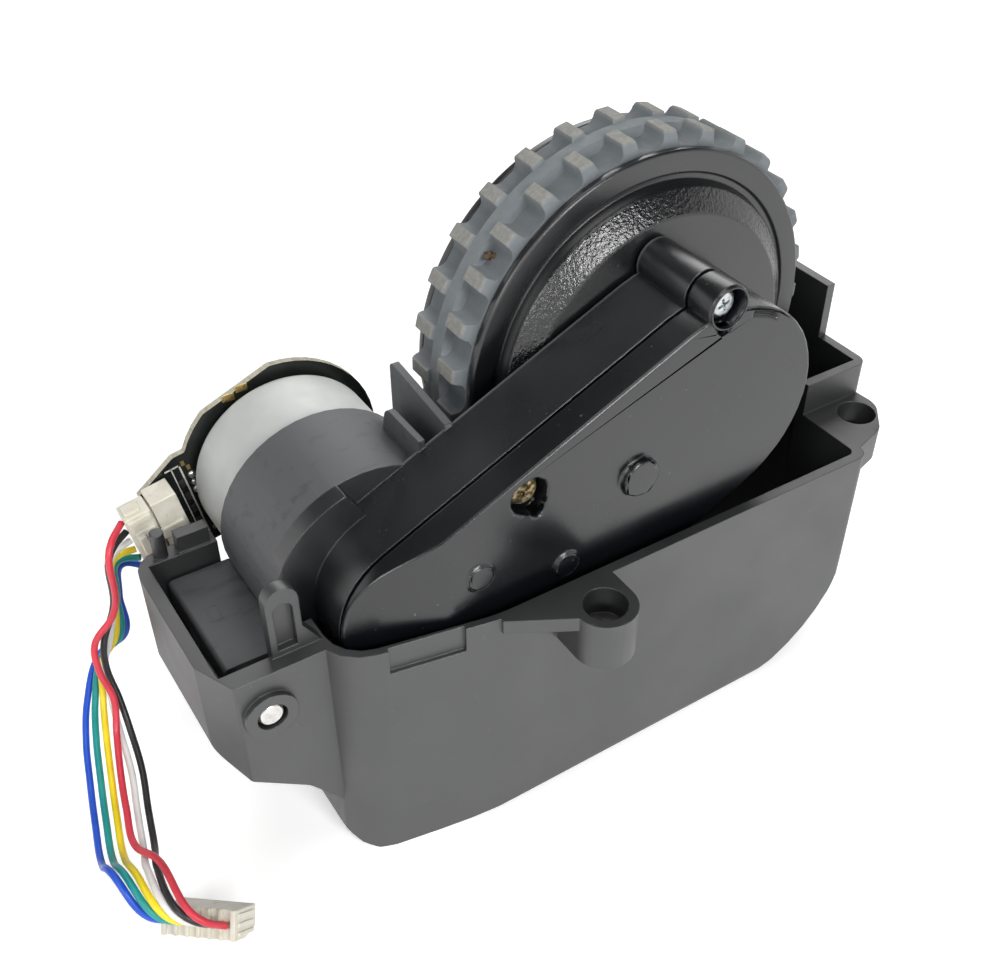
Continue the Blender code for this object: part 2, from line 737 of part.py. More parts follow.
def shell_circles(inset):
    """The circles that the gearbox outline is wrapped round."""
    nose = offset(WHEEL_AXIS, NOSE_OFFSET)
    tail = offset(MOTOR_AXIS, TAIL_OFFSET)
    second = gear_module(FIRST_GEAR_AXIS, SECOND_GEAR_AXIS, FIRST_SMALL_TEETH, SECOND_LARGE_TEETH)
    third = gear_module(SECOND_GEAR_AXIS, THIRD_GEAR_AXIS, SECOND_SMALL_TEETH, THIRD_LARGE_TEETH)
    room = GEAR_ROOM + SHELL_WALL - inset
    return [
        (*nose, NOSE_RADIUS - inset),
        (*tail, TAIL_RADIUS - inset),
        (*SECOND_GEAR_AXIS, second * (SECOND_LARGE_TEETH / 2 + 1) + room),
        (*THIRD_GEAR_AXIS, third * (THIRD_LARGE_TEETH / 2 + 1) + room),
    ]


def tail_relief(name, inset):
    """Plan wedge that trims the cover's tail along the slanted near wall."""
    start = (TAIL_RELIEF_START, COVER_FACE_Y + inset)
    end_x = -0.080
    end_y = start[1] + (TAIL_RELIEF_START - end_x) * TAIL_RELIEF_SLOPE
    return slab(name, [[start, (end_x, end_y), (end_x, start[1] - 0.010), (start[0], start[1] - 0.010)]],
                0.0, 0.100, "XY")


def make_cover(plastic, arm):
    cover = slab("gearbox_cover", [wrap(shell_circles(0.0), 44)], COVER_FACE_Y, PARTING_Y)
    join(cover, rod("cover_top_boss", TOP_SCREW, SCREW_BOSS_RADIUS, COVER_FACE_Y, PARTING_Y, 20),
         rod("cover_low_boss", LOW_SCREW, SCREW_BOSS_RADIUS, COVER_FACE_Y, PARTING_Y, 20))
    cut(cover, tail_relief("cover_tail", 0.0))
    room = slab("cover_room", [wrap(shell_circles(SHELL_WALL), 40)],
                COVER_FACE_Y + SHELL_FACE_WALL, PARTING_Y + 0.001)
    cut(room, tail_relief("cover_room_tail", SHELL_FACE_WALL))
    for name, axis in (("top", TOP_SCREW), ("middle", MIDDLE_SCREW), ("tail", TAIL_SCREW),
                       ("low", LOW_SCREW)):
        cut(room, rod("cover_keep_" + name, axis, SCREW_BOSS_RADIUS, COVER_FACE_Y, PARTING_Y + 0.002, 20))
    cut(cover, room)
    for name, axis, height in (("first", FIRST_GEAR_AXIS, SECOND_STEP_Y[1] - 0.0006),
                               ("second", SECOND_GEAR_AXIS, THIRD_STEP_Y[1] - 0.0006),
                               ("third", THIRD_GEAR_AXIS, THIRD_STEP_Y[1] - 0.0003)):
        join(cover, rod("cover_seat_" + name, axis, AXLE_BOSS_RADIUS, COVER_FACE_Y + 0.0003, height))
    journal = JOURNAL_RADIUS + RUN_GAP + BUSH_WALL + SEAT_GAP
    join(cover, rod("cover_bush_seat", WHEEL_AXIS, journal + 0.0007, COVER_FACE_Y + 0.0003,
                    THIRD_STEP_Y[0] - 0.0016, 20))
    join(cover, rod("plug_boss", THIRD_GEAR_AXIS, PLUG_BOSS_RADIUS, COVER_FACE_Y - PLUG_BOSS_PROUD,
                    COVER_FACE_Y + 0.0005, 20))
    for name, axis in (("first_dot", FIRST_GEAR_AXIS), ("second_dot", SECOND_GEAR_AXIS)):
        join(cover, rod(name, axis, AXLE_BOSS_RADIUS, COVER_FACE_Y - LOW_BOSS_PROUD,
                        COVER_FACE_Y + 0.0005))
    for name, axis in (("a", FIRST_GEAR_AXIS), ("b", SECOND_GEAR_AXIS), ("c", THIRD_GEAR_AXIS)):
        cut(cover, rod("cover_axle_" + name, axis, AXLE_RADIUS + SEAT_GAP,
                       COVER_FACE_Y + SHELL_FACE_WALL - AXLE_SEAT_DEPTH, 0.0))
    cut(cover, rod("cover_bush_bore", WHEEL_AXIS, journal, COVER_FACE_Y + SHELL_FACE_WALL, 0.0, 20))
    for name, axis in (("top", TOP_SCREW), ("middle", MIDDLE_SCREW), ("tail", TAIL_SCREW),
                       ("low", LOW_SCREW)):
        cut(cover, rod("cover_recess_" + name, axis, COUNTERBORE_RADIUS, COVER_FACE_Y - 0.001,
                       COVER_FACE_Y + COUNTERBORE_DEPTH))
        cut(cover, rod("cover_hole_" + name, axis, SCREW_SHANK_RADIUS + SEAT_GAP,
                       COVER_FACE_Y, PARTING_Y + 0.001))
    for name, axis, shift in (("top", TOP_SCREW, (-0.0005, -0.0030)),
                              ("middle", MIDDLE_SCREW, (0.0014, -0.0030))):
        cut(cover, rod("cover_relief_" + name, offset(axis, shift), RELIEF_RADIUS,
                       COVER_FACE_Y - 0.001, COVER_FACE_Y + RELIEF_DEPTH))
    slot = arc(offset(WHEEL_AXIS, NOSE_OFFSET), NOSE_RADIUS - NOSE_SLOT_INSET, *NOSE_SLOT_SPAN, 8)
    slot += arc(offset(WHEEL_AXIS, NOSE_OFFSET), NOSE_RADIUS - NOSE_SLOT_INSET - NOSE_SLOT_WIDTH,
                NOSE_SLOT_SPAN[1], NOSE_SLOT_SPAN[0], 8)
    cut(cover, slab("nose_slot", [slot], COVER_FACE_Y - 0.001, COVER_FACE_Y + NOSE_SLOT_DEPTH))
    return as_part(cover, plastic, arm)


def make_base(plastic, arm):
    front = PARTING_Y + SEAT_GAP
    base = slab("gearbox_base", [wrap(shell_circles(0.0), 44)], front, BASE_BACK_Y)
    join(base, rod("base_top_boss", TOP_SCREW, SCREW_BOSS_RADIUS, front, BASE_BACK_Y, 20),
         rod("base_low_boss", LOW_SCREW, SCREW_BOSS_RADIUS, front, BASE_BACK_Y, 20))
    outer = CAN_RADIUS + SEAT_GAP + SLEEVE_WALL
    join(base, rod("sleeve", MOTOR_AXIS, outer, BASE_BACK_Y - 0.0005, SLEEVE_END_Y, 44))
    flange = arc(MOTOR_AXIS, outer, FLANGE_START, FLANGE_END, 16)
    flange += arc(offset(MOTOR_AXIS, TAIL_OFFSET), TAIL_RADIUS - 0.0010, FLANGE_END, FLANGE_START, 10)
    join(base, slab("flange", [flange], FLANGE_FRONT_Y, BASE_BACK_Y))
    join_hinge(base)
    join_fin(base, outer)

    room = slab("base_room", [wrap(shell_circles(SHELL_WALL), 40)], front - 0.001,
                BASE_BACK_Y - SHELL_FACE_WALL)
    for name, axis in (("top", TOP_SCREW), ("middle", MIDDLE_SCREW), ("tail", TAIL_SCREW),
                       ("low", LOW_SCREW)):
        cut(room, rod("base_keep_" + name, axis, SCREW_BOSS_RADIUS - 0.0006, front - 0.002,
                      BASE_BACK_Y, 20))
    cut(base, room)
    for name, axis, height in (("first", FIRST_GEAR_AXIS, FIRST_STEP_Y[0] + 0.0003),
                               ("second", SECOND_GEAR_AXIS, SECOND_STEP_Y[0] + 0.0003),
                               ("third", THIRD_GEAR_AXIS, OUTPUT_STEP_Y[0] + 0.0003)):
        join(base, rod("base_seat_" + name, axis, AXLE_BOSS_RADIUS, height, BASE_BACK_Y - 0.0004))
    bush = SHAFT_RADIUS + RUN_GAP + BUSH_WALL + SEAT_GAP
    join(base, rod("base_bush_seat", WHEEL_AXIS, bush + 0.0010,
                   BASE_BACK_Y - BASE_BUSH_LENGTH - 0.0002, BASE_BACK_Y - 0.0004, 20))
    for name, axis in (("a", FIRST_GEAR_AXIS), ("b", SECOND_GEAR_AXIS), ("c", THIRD_GEAR_AXIS)):
        cut(base, rod("base_axle_" + name, axis, AXLE_RADIUS + SEAT_GAP, -0.030,
                      BASE_BACK_Y - SHELL_FACE_WALL + AXLE_SEAT_DEPTH))
    cut(base, rod("base_bush_bore", WHEEL_AXIS, bush, -0.012, BASE_BACK_Y + 0.001, 20))
    cut(base, rod("can_bore", MOTOR_AXIS, CAN_RADIUS + SEAT_GAP, CAN_FRONT_Y - SEAT_GAP,
                  SLEEVE_END_Y + 0.004, 44))
    cut(base, rod("motor_boss_bore", MOTOR_AXIS, MOTOR_BOSS_RADIUS + SEAT_GAP, -0.012, 0.0))
    for name, side in (("left", -0.5), ("right", 0.5)):
        spot = (MOTOR_AXIS[0], MOTOR_AXIS[1] + side * MOTOR_SCREW_SPACING)
        cut(base, rod("motor_hole_" + name, spot, SCREW_SHANK_RADIUS + SEAT_GAP, -0.012, 0.0))
    for name, axis in (("top", TOP_SCREW), ("middle", MIDDLE_SCREW), ("tail", TAIL_SCREW),
                       ("low", LOW_SCREW)):
        cut(base, rod("base_hole_" + name, axis, SCREW_SHANK_RADIUS + SEAT_GAP, front - 0.001,
                      COVER_FACE_Y + COUNTERBORE_DEPTH + SCREW_LENGTH + 0.0005))
    cut(base, rod("lug_bore", PIN_AXIS, PIN_RADIUS + RUN_GAP, LUG_Y[0] - 0.001, LUG_Y[1] + 0.001, 20))
    return as_part(base, plastic, arm)


def join_hinge(base):
    """The lug that hangs on the pivot pin, with its flat top, and the spring lever."""
    lug = rounded([
        (LUG_LEFT_X, LUG_TOP_Z, 0.0008),
        (LUG_LEFT_X, PIN_AXIS[1] - 0.0020, 0.0022),
        (PIN_AXIS[0], PIN_AXIS[1] - LUG_BARREL_RADIUS, 0.0022),
        (MOTOR_AXIS[0] - 0.0080, PIN_AXIS[1] - LUG_BARREL_RADIUS - 0.0020, 0.0),
        (MOTOR_AXIS[0] - 0.0080, PIN_AXIS[1] + 0.0005, 0.0),
        (LUG_RIGHT_X, PIN_AXIS[1] + 0.0005, 0.0),
        (LUG_RIGHT_X, LUG_TOP_Z, 0.0004),
    ])
    join(base, slab("lug", [lug], LUG_Y[0], LUG_Y[1]))
    hook = (PIN_AXIS[0], PIN_AXIS[1] - LEVER_LENGTH)
    lever = wrap([(*PIN_AXIS, LUG_BARREL_RADIUS - 0.0004), (*hook, POST_RADIUS + 0.0003)], 24)
    face = SPRING_Y - SPRING_RADIUS - SPRING_WIRE - SEAT_GAP
    join(base, slab("lever", [lever], face - LEVER_THICKNESS, face))
    join(base, rod("hook_post", hook, POST_RADIUS, face - 0.0010, SPRING_Y + 0.0010, 12))


def join_fin(base, outer):
    """The splash fin between motor and wheel and the low rib beside it."""
    drop = sqrt(outer ** 2 - (FIN_X - MOTOR_AXIS[0]) ** 2)
    foot = MOTOR_AXIS[1] + drop - 0.0015
    fin = rounded([(BASE_BACK_Y - 0.0005, foot, 0.0), (SLEEVE_END_Y, foot, 0.0),
                   (SLEEVE_END_Y, FIN_HIGH_Z, FIN_ROUND), (BASE_BACK_Y - 0.0005, FIN_LOW_Z, 0.0)])
    join(base, slab("fin", [fin], FIN_X - FIN_THICKNESS / 2, FIN_X + FIN_THICKNESS / 2, "YZ"))
    rib_foot = MOTOR_AXIS[1] + sqrt(outer ** 2 - (RIB_X - MOTOR_AXIS[0]) ** 2) - 0.0015
    rib = rounded([(BASE_BACK_Y - 0.0005, rib_foot, 0.0), (0.0050, rib_foot, 0.0),
                   (0.0034, RIB_TOP_Z, RIB_ROUND), (BASE_BACK_Y - 0.0005, RIB_TOP_Z, 0.0)])
    join(base, slab("rib", [rib], RIB_X - 0.0005, RIB_X + 0.0005, "YZ"))


def make_screw(name, axis, head_y, steel, parent):
    """A pan-head screw along Y, its head toward -Y."""
    profile = [
        (0.0, head_y + SCREW_LENGTH), (SCREW_SHANK_RADIUS * 0.6, head_y + SCREW_LENGTH),
        (SCREW_SHANK_RADIUS, head_y + SCREW_LENGTH - 0.0008), (SCREW_SHANK_RADIUS, head_y),
        (SCREW_HEAD_RADIUS, head_y), (SCREW_HEAD_RADIUS, head_y - SCREW_HEAD_HEIGHT * 0.6),
        (SCREW_HEAD_RADIUS * 0.75, head_y - SCREW_HEAD_HEIGHT), (0.0, head_y - SCREW_HEAD_HEIGHT),
    ]
    screw = turned(name, axis, profile, 12)
    for tag, wide, tall in (("flat", 0.0011, 0.00035), ("upright", 0.00035, 0.0011)):
        cut(screw, box(name + "_slot_" + tag, (axis[0] - wide, axis[0] + wide),
                       (head_y - SCREW_HEAD_HEIGHT - 0.001, head_y - SCREW_HEAD_HEIGHT + 0.0007),
                       (axis[1] - tall, axis[1] + tall)))
    return as_part(screw, steel, parent)


def make_motor(finish, arm, rotor):
    can = turned("motor_can", MOTOR_AXIS, [
        (0.0, CAN_REAR_Y), (CAN_RADIUS - 0.0012, CAN_REAR_Y), (CAN_RADIUS, CAN_REAR_Y - 0.0012),
        (CAN_RADIUS, CAN_FRONT_Y), (MOTOR_BOSS_RADIUS, CAN_FRONT_Y),
        (MOTOR_BOSS_RADIUS, BASE_BACK_Y - SHELL_FACE_WALL), (0.0, BASE_BACK_Y - SHELL_FACE_WALL),
    ], 44)
    cut(can, rod("can_shaft_bore", MOTOR_AXIS, MOTOR_SHAFT_RADIUS + RUN_GAP, -0.020, 0.040))
    cut(can, rod("can_cap_seat", MOTOR_AXIS, END_CAP_RADIUS + SEAT_GAP,
                 CAN_REAR_Y - END_CAP_THICKNESS - SEAT_GAP, CAN_REAR_Y + 0.001, 40))
    for tag, side in (("low", -0.5), ("high", 0.5)):
        spot = (MOTOR_AXIS[0], MOTOR_AXIS[1] + side * MOTOR_SCREW_SPACING)
        cut(can, rod("can_thread_" + tag, spot, SCREW_SHANK_RADIUS + SEAT_GAP, -0.010, 0.0030))
        make_motor_screw("motor_screw_" + tag, spot, finish["zinc"], arm)
    as_part(can, finish["zinc"], arm)

    cap = slab("motor_end_cap", [circle_loop(END_CAP_RADIUS, 40),
                                 circle_loop(MOTOR_SHAFT_RADIUS + RUN_GAP)],
               CAN_REAR_Y - END_CAP_THICKNESS, CAN_REAR_Y)
    cap.location.x = MOTOR_AXIS[0]
    cap.location.z = MOTOR_AXIS[1]
    as_part(cap, finish["black"], arm)

    magnet_y = CAN_REAR_Y + BOARD_GAP + BOARD_THICKNESS + 0.0018
    shaft = rod("motor_shaft", MOTOR_AXIS, MOTOR_SHAFT_RADIUS, FIRST_STEP_Y[1] - 0.0008,
                magnet_y + MAGNET_THICKNESS)
    as_part(shaft, finish["steel"], rotor)
    magnet = slab("encoder_magnet", [circle_loop(MAGNET_RADIUS, 20),
                                     circle_loop(MOTOR_SHAFT_RADIUS + SEAT_GAP)],
                  magnet_y, magnet_y + MAGNET_THICKNESS)
    magnet.location.x = MOTOR_AXIS[0]
    magnet.location.z = MOTOR_AXIS[1]
    as_part(magnet, finish["magnet"], rotor)
    return magnet_y


def make_motor_screw(name, axis, steel, arm):
    inside = BASE_BACK_Y - SHELL_FACE_WALL - SEAT_GAP
    profile = [
        (0.0, 0.0026), (SCREW_SHANK_RADIUS, 0.0026), (SCREW_SHANK_RADIUS, inside),
        (SCREW_HEAD_RADIUS * 0.8, inside), (SCREW_HEAD_RADIUS * 0.8, inside - MOTOR_SCREW_HEAD),
        (0.0, inside - MOTOR_SCREW_HEAD),
    ]
    as_part(turned(name, axis, profile, 16), steel, arm)


def tab_frame():
    """Unit vectors along and across the board's tab, in x and z."""
    along = radians(BOARD_TAB_TILT)
    return (cos(along), sin(along)), (-sin(along), cos(along))


def tab_point(along, across):
    out, side = tab_frame()
    return (MOTOR_AXIS[0] + out[0] * along + side[0] * across,
            MOTOR_AXIS[1] + out[1] * along + side[1] * across)


def make_board(finish, arm, magnet_y):
    near = CAN_REAR_Y + BOARD_GAP
    far = near + BOARD_THICKNESS
    half = BOARD_TAB_WIDTH / 2
    disc = wrap([(*MOTOR_AXIS, BOARD_RADIUS)], 48)
    board = slab("encoder_board", [disc], near, far)
    end = BOARD_TAB_END / 2
    root = BOARD_RADIUS - 0.0030
    tab = [tab_point(root, -half), tab_point(BOARD_RADIUS - 0.0008, -half),
           tab_point(BOARD_TAB_LENGTH - 0.0016, -end - 0.0008), tab_point(BOARD_TAB_LENGTH, -end),
           tab_point(BOARD_TAB_LENGTH, end), tab_point(BOARD_TAB_LENGTH - 0.0016, end + 0.0008),
           tab_point(BOARD_RADIUS - 0.0008, half), tab_point(root, half)]
    join(board, slab("board_tab", [tab], near, far))
    flat = radians(BOARD_FLAT_TILT)
    middle = offset(MOTOR_AXIS, (cos(flat) * (BOARD_RADIUS - BOARD_FLAT_DROP + 0.010),
                                 sin(flat) * (BOARD_RADIUS - BOARD_FLAT_DROP + 0.010)))
    edge = box("board_flat", (-0.010, 0.010), (near - 0.001, far + 0.001), (-0.010, 0.010))
    edge.location.x = middle[0]
    edge.location.z = middle[1]
    edge.rotation_euler = (0.0, pi / 2 - flat, 0.0)
    cut(board, edge)
    cut(board, rod("board_shaft_hole", MOTOR_AXIS, MOTOR_SHAFT_RADIUS + 0.0010, near - 0.001,
                   far + 0.001))
    terminal_x = END_CAP_RADIUS - 0.0040
    for tag, side in (("left", -1.0), ("right", 1.0)):
        x = MOTOR_AXIS[0] + side * terminal_x * 0.75
        z = MOTOR_AXIS[1] + terminal_x * 0.75
        cut(board, box("slit_" + tag, (x - 0.0014, x + 0.0014), (near - 0.001, far + 0.001),
                       (z - 0.0006, z + 0.0006)))
        pin = box("motor_terminal_" + tag, (x - 0.0011, x + 0.0011),
                  (CAN_REAR_Y + SEAT_GAP, far + 0.0012), (z - 0.0003, z + 0.0003))
        as_part(pin, finish["brass"], arm)
    as_part(board, finish["board"], arm)
    for tag, side in (("a", -1.0), ("b", 1.0)):
        x = MOTOR_AXIS[0] + side * 0.0030
        chip = box("hall_sensor_" + tag, (x - 0.0015, x + 0.0015), (far + SEAT_GAP, magnet_y - 0.0004),
                   (MOTOR_AXIS[1] - 0.0062, MOTOR_AXIS[1] - 0.0030))
        as_part(chip, finish["black"], arm)


def connector_block(name, along, width, near, far):
    """A block on the board's tab between two distances along it."""
    half = width / 2
    loop = [tab_point(along[0], -half), tab_point(along[1], -half),
            tab_point(along[1], half), tab_point(along[0], half)]
    return slab(name, [loop], near, far)


def make_connectors(finish, arm):
    width = (WAYS - 1) * HEADER_PITCH + 2 * HEADER_SIDE
    far = CAN_REAR_Y + BOARD_GAP - SEAT_GAP
    near = far - HEADER_HEIGHT
    start = BOARD_TAB_LENGTH - HEADER_LENGTH - 0.0006
    end = start + HEADER_LENGTH
    header = connector_block("board_header", (start, end), width + 2 * HEADER_WALL, near, far)
    cut(header, connector_block("header_mouth", (end - PLUG_TONGUE - SEAT_GAP, end + 0.001), width,
                                near + HEADER_WALL, far - HEADER_WALL))
    as_part(header, finish["ivory"], arm)
    plug = connector_block("harness_plug", (end + SEAT_GAP, end + SEAT_GAP + PLUG_LENGTH - PLUG_TONGUE),
                           width + HEADER_WALL, near - 0.0002, far - HEADER_WALL)
    join(plug, connector_block("plug_tongue", (end - PLUG_TONGUE + SEAT_GAP, end + 0.001),
                               width - 2 * SEAT_GAP, near + HEADER_WALL + SEAT_GAP,
                               far - HEADER_WALL - SEAT_GAP))
    for i in range(WAYS):
        across = (i - (WAYS - 1) / 2) * HEADER_PITCH
        x, z = tab_point(end + PLUG_LENGTH - PLUG_TONGUE, across)
        cut(plug, wire_socket("plug_socket_" + str(i), (x, (near + far) / 2, z)))
    as_part(plug, finish["ivory"], arm)

    make_end_connector(finish, arm)
    return (near + far) / 2, end + SEAT_GAP + PLUG_LENGTH - PLUG_TONGUE


def make_end_connector(finish, arm):
    """The loose connector: a body with one long edge tapered, and a socket for each wire."""
    half = (WAYS - 1) / 2 * END_PITCH + END_SIDE
    side = END_THICKNESS / 2
    profile = [(-side, 0.0), (side, 0.0), (side, -END_LENGTH), (-side + END_TAPER, -END_LENGTH),
               (-side, -END_LENGTH + 2 * END_TAPER)]
    tail = slab("end_connector", [profile], -half, half, "YZ")
    tail.matrix_world = end_frame() @ tail.matrix_basis
    for i in range(WAYS):
        hole = post("end_socket_" + str(i), ((WAYS - 1) / 2 - i) * END_PITCH, 0.0,
                    SOCKET_RADIUS, -SOCKET_DEPTH, 0.001, 8)
        hole.matrix_world = end_frame() @ hole.matrix_basis
        cut(tail, hole)
    as_part(tail, finish["ivory"], arm)


def end_frame():
    """Place and turn of the end connector: X along its ways, Z out of the side with the wires."""
    turn = Matrix.Rotation(radians(END_HEADING), 4, "Z")
    rise = Matrix.Rotation(radians(-END_RISE), 4, "Y")
    return Matrix.Translation(END_CENTRE) @ turn @ rise @ Matrix.Rotation(radians(END_ROLL), 4, "X")


def wire_socket(name, place):
    """A round socket in the plug's rear face, along the tab."""
    form = bmesh.new()
    bmesh.ops.create_cone(form, cap_ends=True, segments=8, radius1=SOCKET_RADIUS,
                          radius2=SOCKET_RADIUS, depth=2 * SOCKET_DEPTH)
    item = mesh_object(name, form)
    item.location = place
    item.rotation_euler = (0.0, pi / 2 - radians(BOARD_TAB_TILT), 0.0)
    return item


# Harness between plug and end connector: the bundle's middle and its twist in degrees
BUNDLE = (
    ((-0.0850, 0.0214, 0.0320), 118.0),
    ((-0.0874, 0.0207, 0.0272), 118.0),
    ((-0.0903, 0.0192, 0.0215), 130.0),
    ((-0.0919, 0.0160, 0.0165), 150.0),
    ((-0.0934, 0.0120, 0.0125), 172.0),
    ((-0.0951, 0.0062, 0.0100), 180.0),
    ((-0.0969, -0.0010, 0.0088), 182.0),
    ((-0.0984, -0.0085, 0.0088), 186.0),
    ((-0.0983, -0.0146, 0.0120), 206.0),
)
BUNDLE_PITCH = 0.00164
WIRE_COLOURS = (
    ("wire_red", (0.60, 0.03, 0.06)),
    ("wire_black", (0.012, 0.012, 0.014)),
    ("wire_white", (0.72, 0.72, 0.72)),
    ("wire_yellow", (0.75, 0.55, 0.01)),
    ("wire_green", (0.0, 0.22, 0.22)),
    ("wire_blue", (0.01, 0.08, 0.50)),
)
# Where a wire leaves its place in the band, in pitches across and above it at each point
STRAYS = {
    "wire_red": ((0.0, 0.0), (0.0, 0.4), (0.0, 0.8), (-0.8, 1.0), (-1.7, 1.0), (-2.0, 0.9),
                 (-2.0, 0.9), (-1.9, 0.9), (-1.0, 0.9)),
    "wire_black": ((0.0, 0.0), (0.0, 0.0), (0.0, 0.0), (0.0, 0.0), (0.4, 0.0), (0.9, 0.0),
                   (0.9, 0.0), (0.8, 0.0), (0.2, -0.1)),
    "wire_white": ((0.0, 0.0), (0.0, 0.0), (0.0, 0.0), (0.0, 0.0), (0.4, 0.0), (0.9, 0.0),
                   (0.9, 0.0), (0.8, 0.0), (0.2, 0.0)),
}


def wire_route(name, place, plug_y, plug_along):
    """Route points of the wire at a place in the band, counted in pitches from its middle."""
    start = []
    for out, spread in ((SEAT_GAP, 0.0), (0.0014, 0.0004), (0.0036, 0.0014)):
        x, z = tab_point(plug_along + out, -place * HEADER_PITCH)
        start.append(Vector((x, plug_y - place * spread, z)))
    way = Vector((place * END_PITCH, 0.0, 0.0))
    up = Vector((0.0, 0.0, 1.0))
    end = [end_frame() @ (way + Vector(lead))
           for lead in (END_LEAD, (0.0, 0.0, 0.0020), (0.0, 0.0, SEAT_GAP + 0.0002))]
    middles = [Vector(middle) for middle, twist in BUNDLE]
    line = [Vector((start[-1].x, plug_y, start[-1].z))] + middles + [end[0]]
    route = start
    for k, (middle, twist) in enumerate(BUNDLE):
        travel = (line[k + 2] - line[k]).normalized()
        side = travel.cross(up).normalized()
        top = side.cross(travel)
        across = side * cos(radians(twist)) + top * sin(radians(twist))
        above = top * -cos(radians(twist)) + side * sin(radians(twist))
        stray = STRAYS.get(name, ((0.0, 0.0),) * len(BUNDLE))[k]
        route.append(Vector(middle) + across * ((place + stray[0]) * BUNDLE_PITCH)
                     + above * (stray[1] * BUNDLE_PITCH))
    return route + end


def make_wires(arm, plug_y, plug_along):
    for i, (name, colour) in enumerate(WIRE_COLOURS):
        route = wire_route(name, (WAYS - 1) / 2 - i, plug_y, plug_along)
        item = tube(name, wire_through(route, 0.0036), WIRE_RADIUS, 2)
        as_part(item, material(name, colour, 0.45), arm)


def make_gears(finish, arm, rotor):
    first_module = gear_module(MOTOR_AXIS, FIRST_GEAR_AXIS, PINION_TEETH, FIRST_LARGE_TEETH)
    second_module = gear_module(FIRST_GEAR_AXIS, SECOND_GEAR_AXIS, FIRST_SMALL_TEETH,
                                SECOND_LARGE_TEETH)
    third_module = gear_module(SECOND_GEAR_AXIS, THIRD_GEAR_AXIS, SECOND_SMALL_TEETH,
                               THIRD_LARGE_TEETH)
    output_module = gear_module(THIRD_GEAR_AXIS, WHEEL_AXIS, THIRD_SMALL_TEETH, OUTPUT_TEETH)
    bore = AXLE_RADIUS + RUN_GAP

    pinion_lead = heading(MOTOR_AXIS, FIRST_GEAR_AXIS)
    pinion = gear_disc("motor_pinion", MOTOR_AXIS, first_module, PINION_TEETH, pinion_lead,
                       FIRST_STEP_Y[1] - 0.0002, FIRST_STEP_Y[0] + 0.0002,
                       MOTOR_SHAFT_RADIUS + SEAT_GAP / 2)
    as_part(pinion, finish["brass"], rotor)

    lead = mesh_lead(MOTOR_AXIS, FIRST_GEAR_AXIS, pinion_lead, PINION_TEETH, FIRST_LARGE_TEETH)
    first = gear_disc("first_gear", FIRST_GEAR_AXIS, first_module, FIRST_LARGE_TEETH, lead,
                      FIRST_STEP_Y[1], FIRST_STEP_Y[0], bore)
    small_lead = heading(FIRST_GEAR_AXIS, SECOND_GEAR_AXIS)
    join(first, gear_disc("first_small", FIRST_GEAR_AXIS, second_module, FIRST_SMALL_TEETH,
                          small_lead, SECOND_STEP_Y[1] - 0.0003, FIRST_STEP_Y[1] + 0.0008, bore))
    as_part(first, finish["gear"], arm)

    lead = mesh_lead(FIRST_GEAR_AXIS, SECOND_GEAR_AXIS, small_lead, FIRST_SMALL_TEETH,
                     SECOND_LARGE_TEETH)
    second = gear_disc("second_gear", SECOND_GEAR_AXIS, second_module, SECOND_LARGE_TEETH, lead,
                       SECOND_STEP_Y[1], SECOND_STEP_Y[0], bore)
    small_lead = heading(SECOND_GEAR_AXIS, THIRD_GEAR_AXIS)
    join(second, gear_disc("second_small", SECOND_GEAR_AXIS, third_module, SECOND_SMALL_TEETH,
                           small_lead, THIRD_STEP_Y[1] - 0.0002, SECOND_STEP_Y[1] + 0.0008, bore))
    as_part(second, finish["gear"], arm)

    lead = mesh_lead(SECOND_GEAR_AXIS, THIRD_GEAR_AXIS, small_lead, SECOND_SMALL_TEETH,
                     THIRD_LARGE_TEETH)
    third = gear_disc("third_gear", THIRD_GEAR_AXIS, third_module, THIRD_LARGE_TEETH, lead,
                      THIRD_STEP_Y[1], THIRD_STEP_Y[0], bore)
    hub = slab("third_hub", [circle_loop(output_module * THIRD_SMALL_TEETH / 2 * 0.66),
                             circle_loop(bore)], THIRD_STEP_Y[0] - 0.0005,
               OUTPUT_STEP_Y[1] + 0.0005)
    hub.location.x = THIRD_GEAR_AXIS[0]
    hub.location.z = THIRD_GEAR_AXIS[1]
    small_lead = heading(THIRD_GEAR_AXIS, WHEEL_AXIS)
    join(third, hub, gear_disc("third_small", THIRD_GEAR_AXIS, output_module, THIRD_SMALL_TEETH,
                               small_lead, OUTPUT_STEP_Y[1] - 0.0002, OUTPUT_STEP_Y[0] + 0.0001,
                               bore))
    as_part(third, finish["gear"], arm)

    lead = mesh_lead(THIRD_GEAR_AXIS, WHEEL_AXIS, small_lead, THIRD_SMALL_TEETH, OUTPUT_TEETH)
    output = gear_disc("output_gear", WHEEL_AXIS, output_module, OUTPUT_TEETH, lead,
                       OUTPUT_STEP_Y[1], OUTPUT_STEP_Y[0], SHAFT_RADIUS + SEAT_GAP)

    for name, axis in (("first_axle", FIRST_GEAR_AXIS), ("second_axle", SECOND_GEAR_AXIS),
                       ("third_axle", THIRD_GEAR_AXIS)):
        low = COVER_FACE_Y + SHELL_FACE_WALL - AXLE_SEAT_DEPTH + SEAT_GAP
        high = BASE_BACK_Y - SHELL_FACE_WALL + AXLE_SEAT_DEPTH - SEAT_GAP
        as_part(rod(name, axis, AXLE_RADIUS, low, high, 16), finish["steel"], arm)
    return output


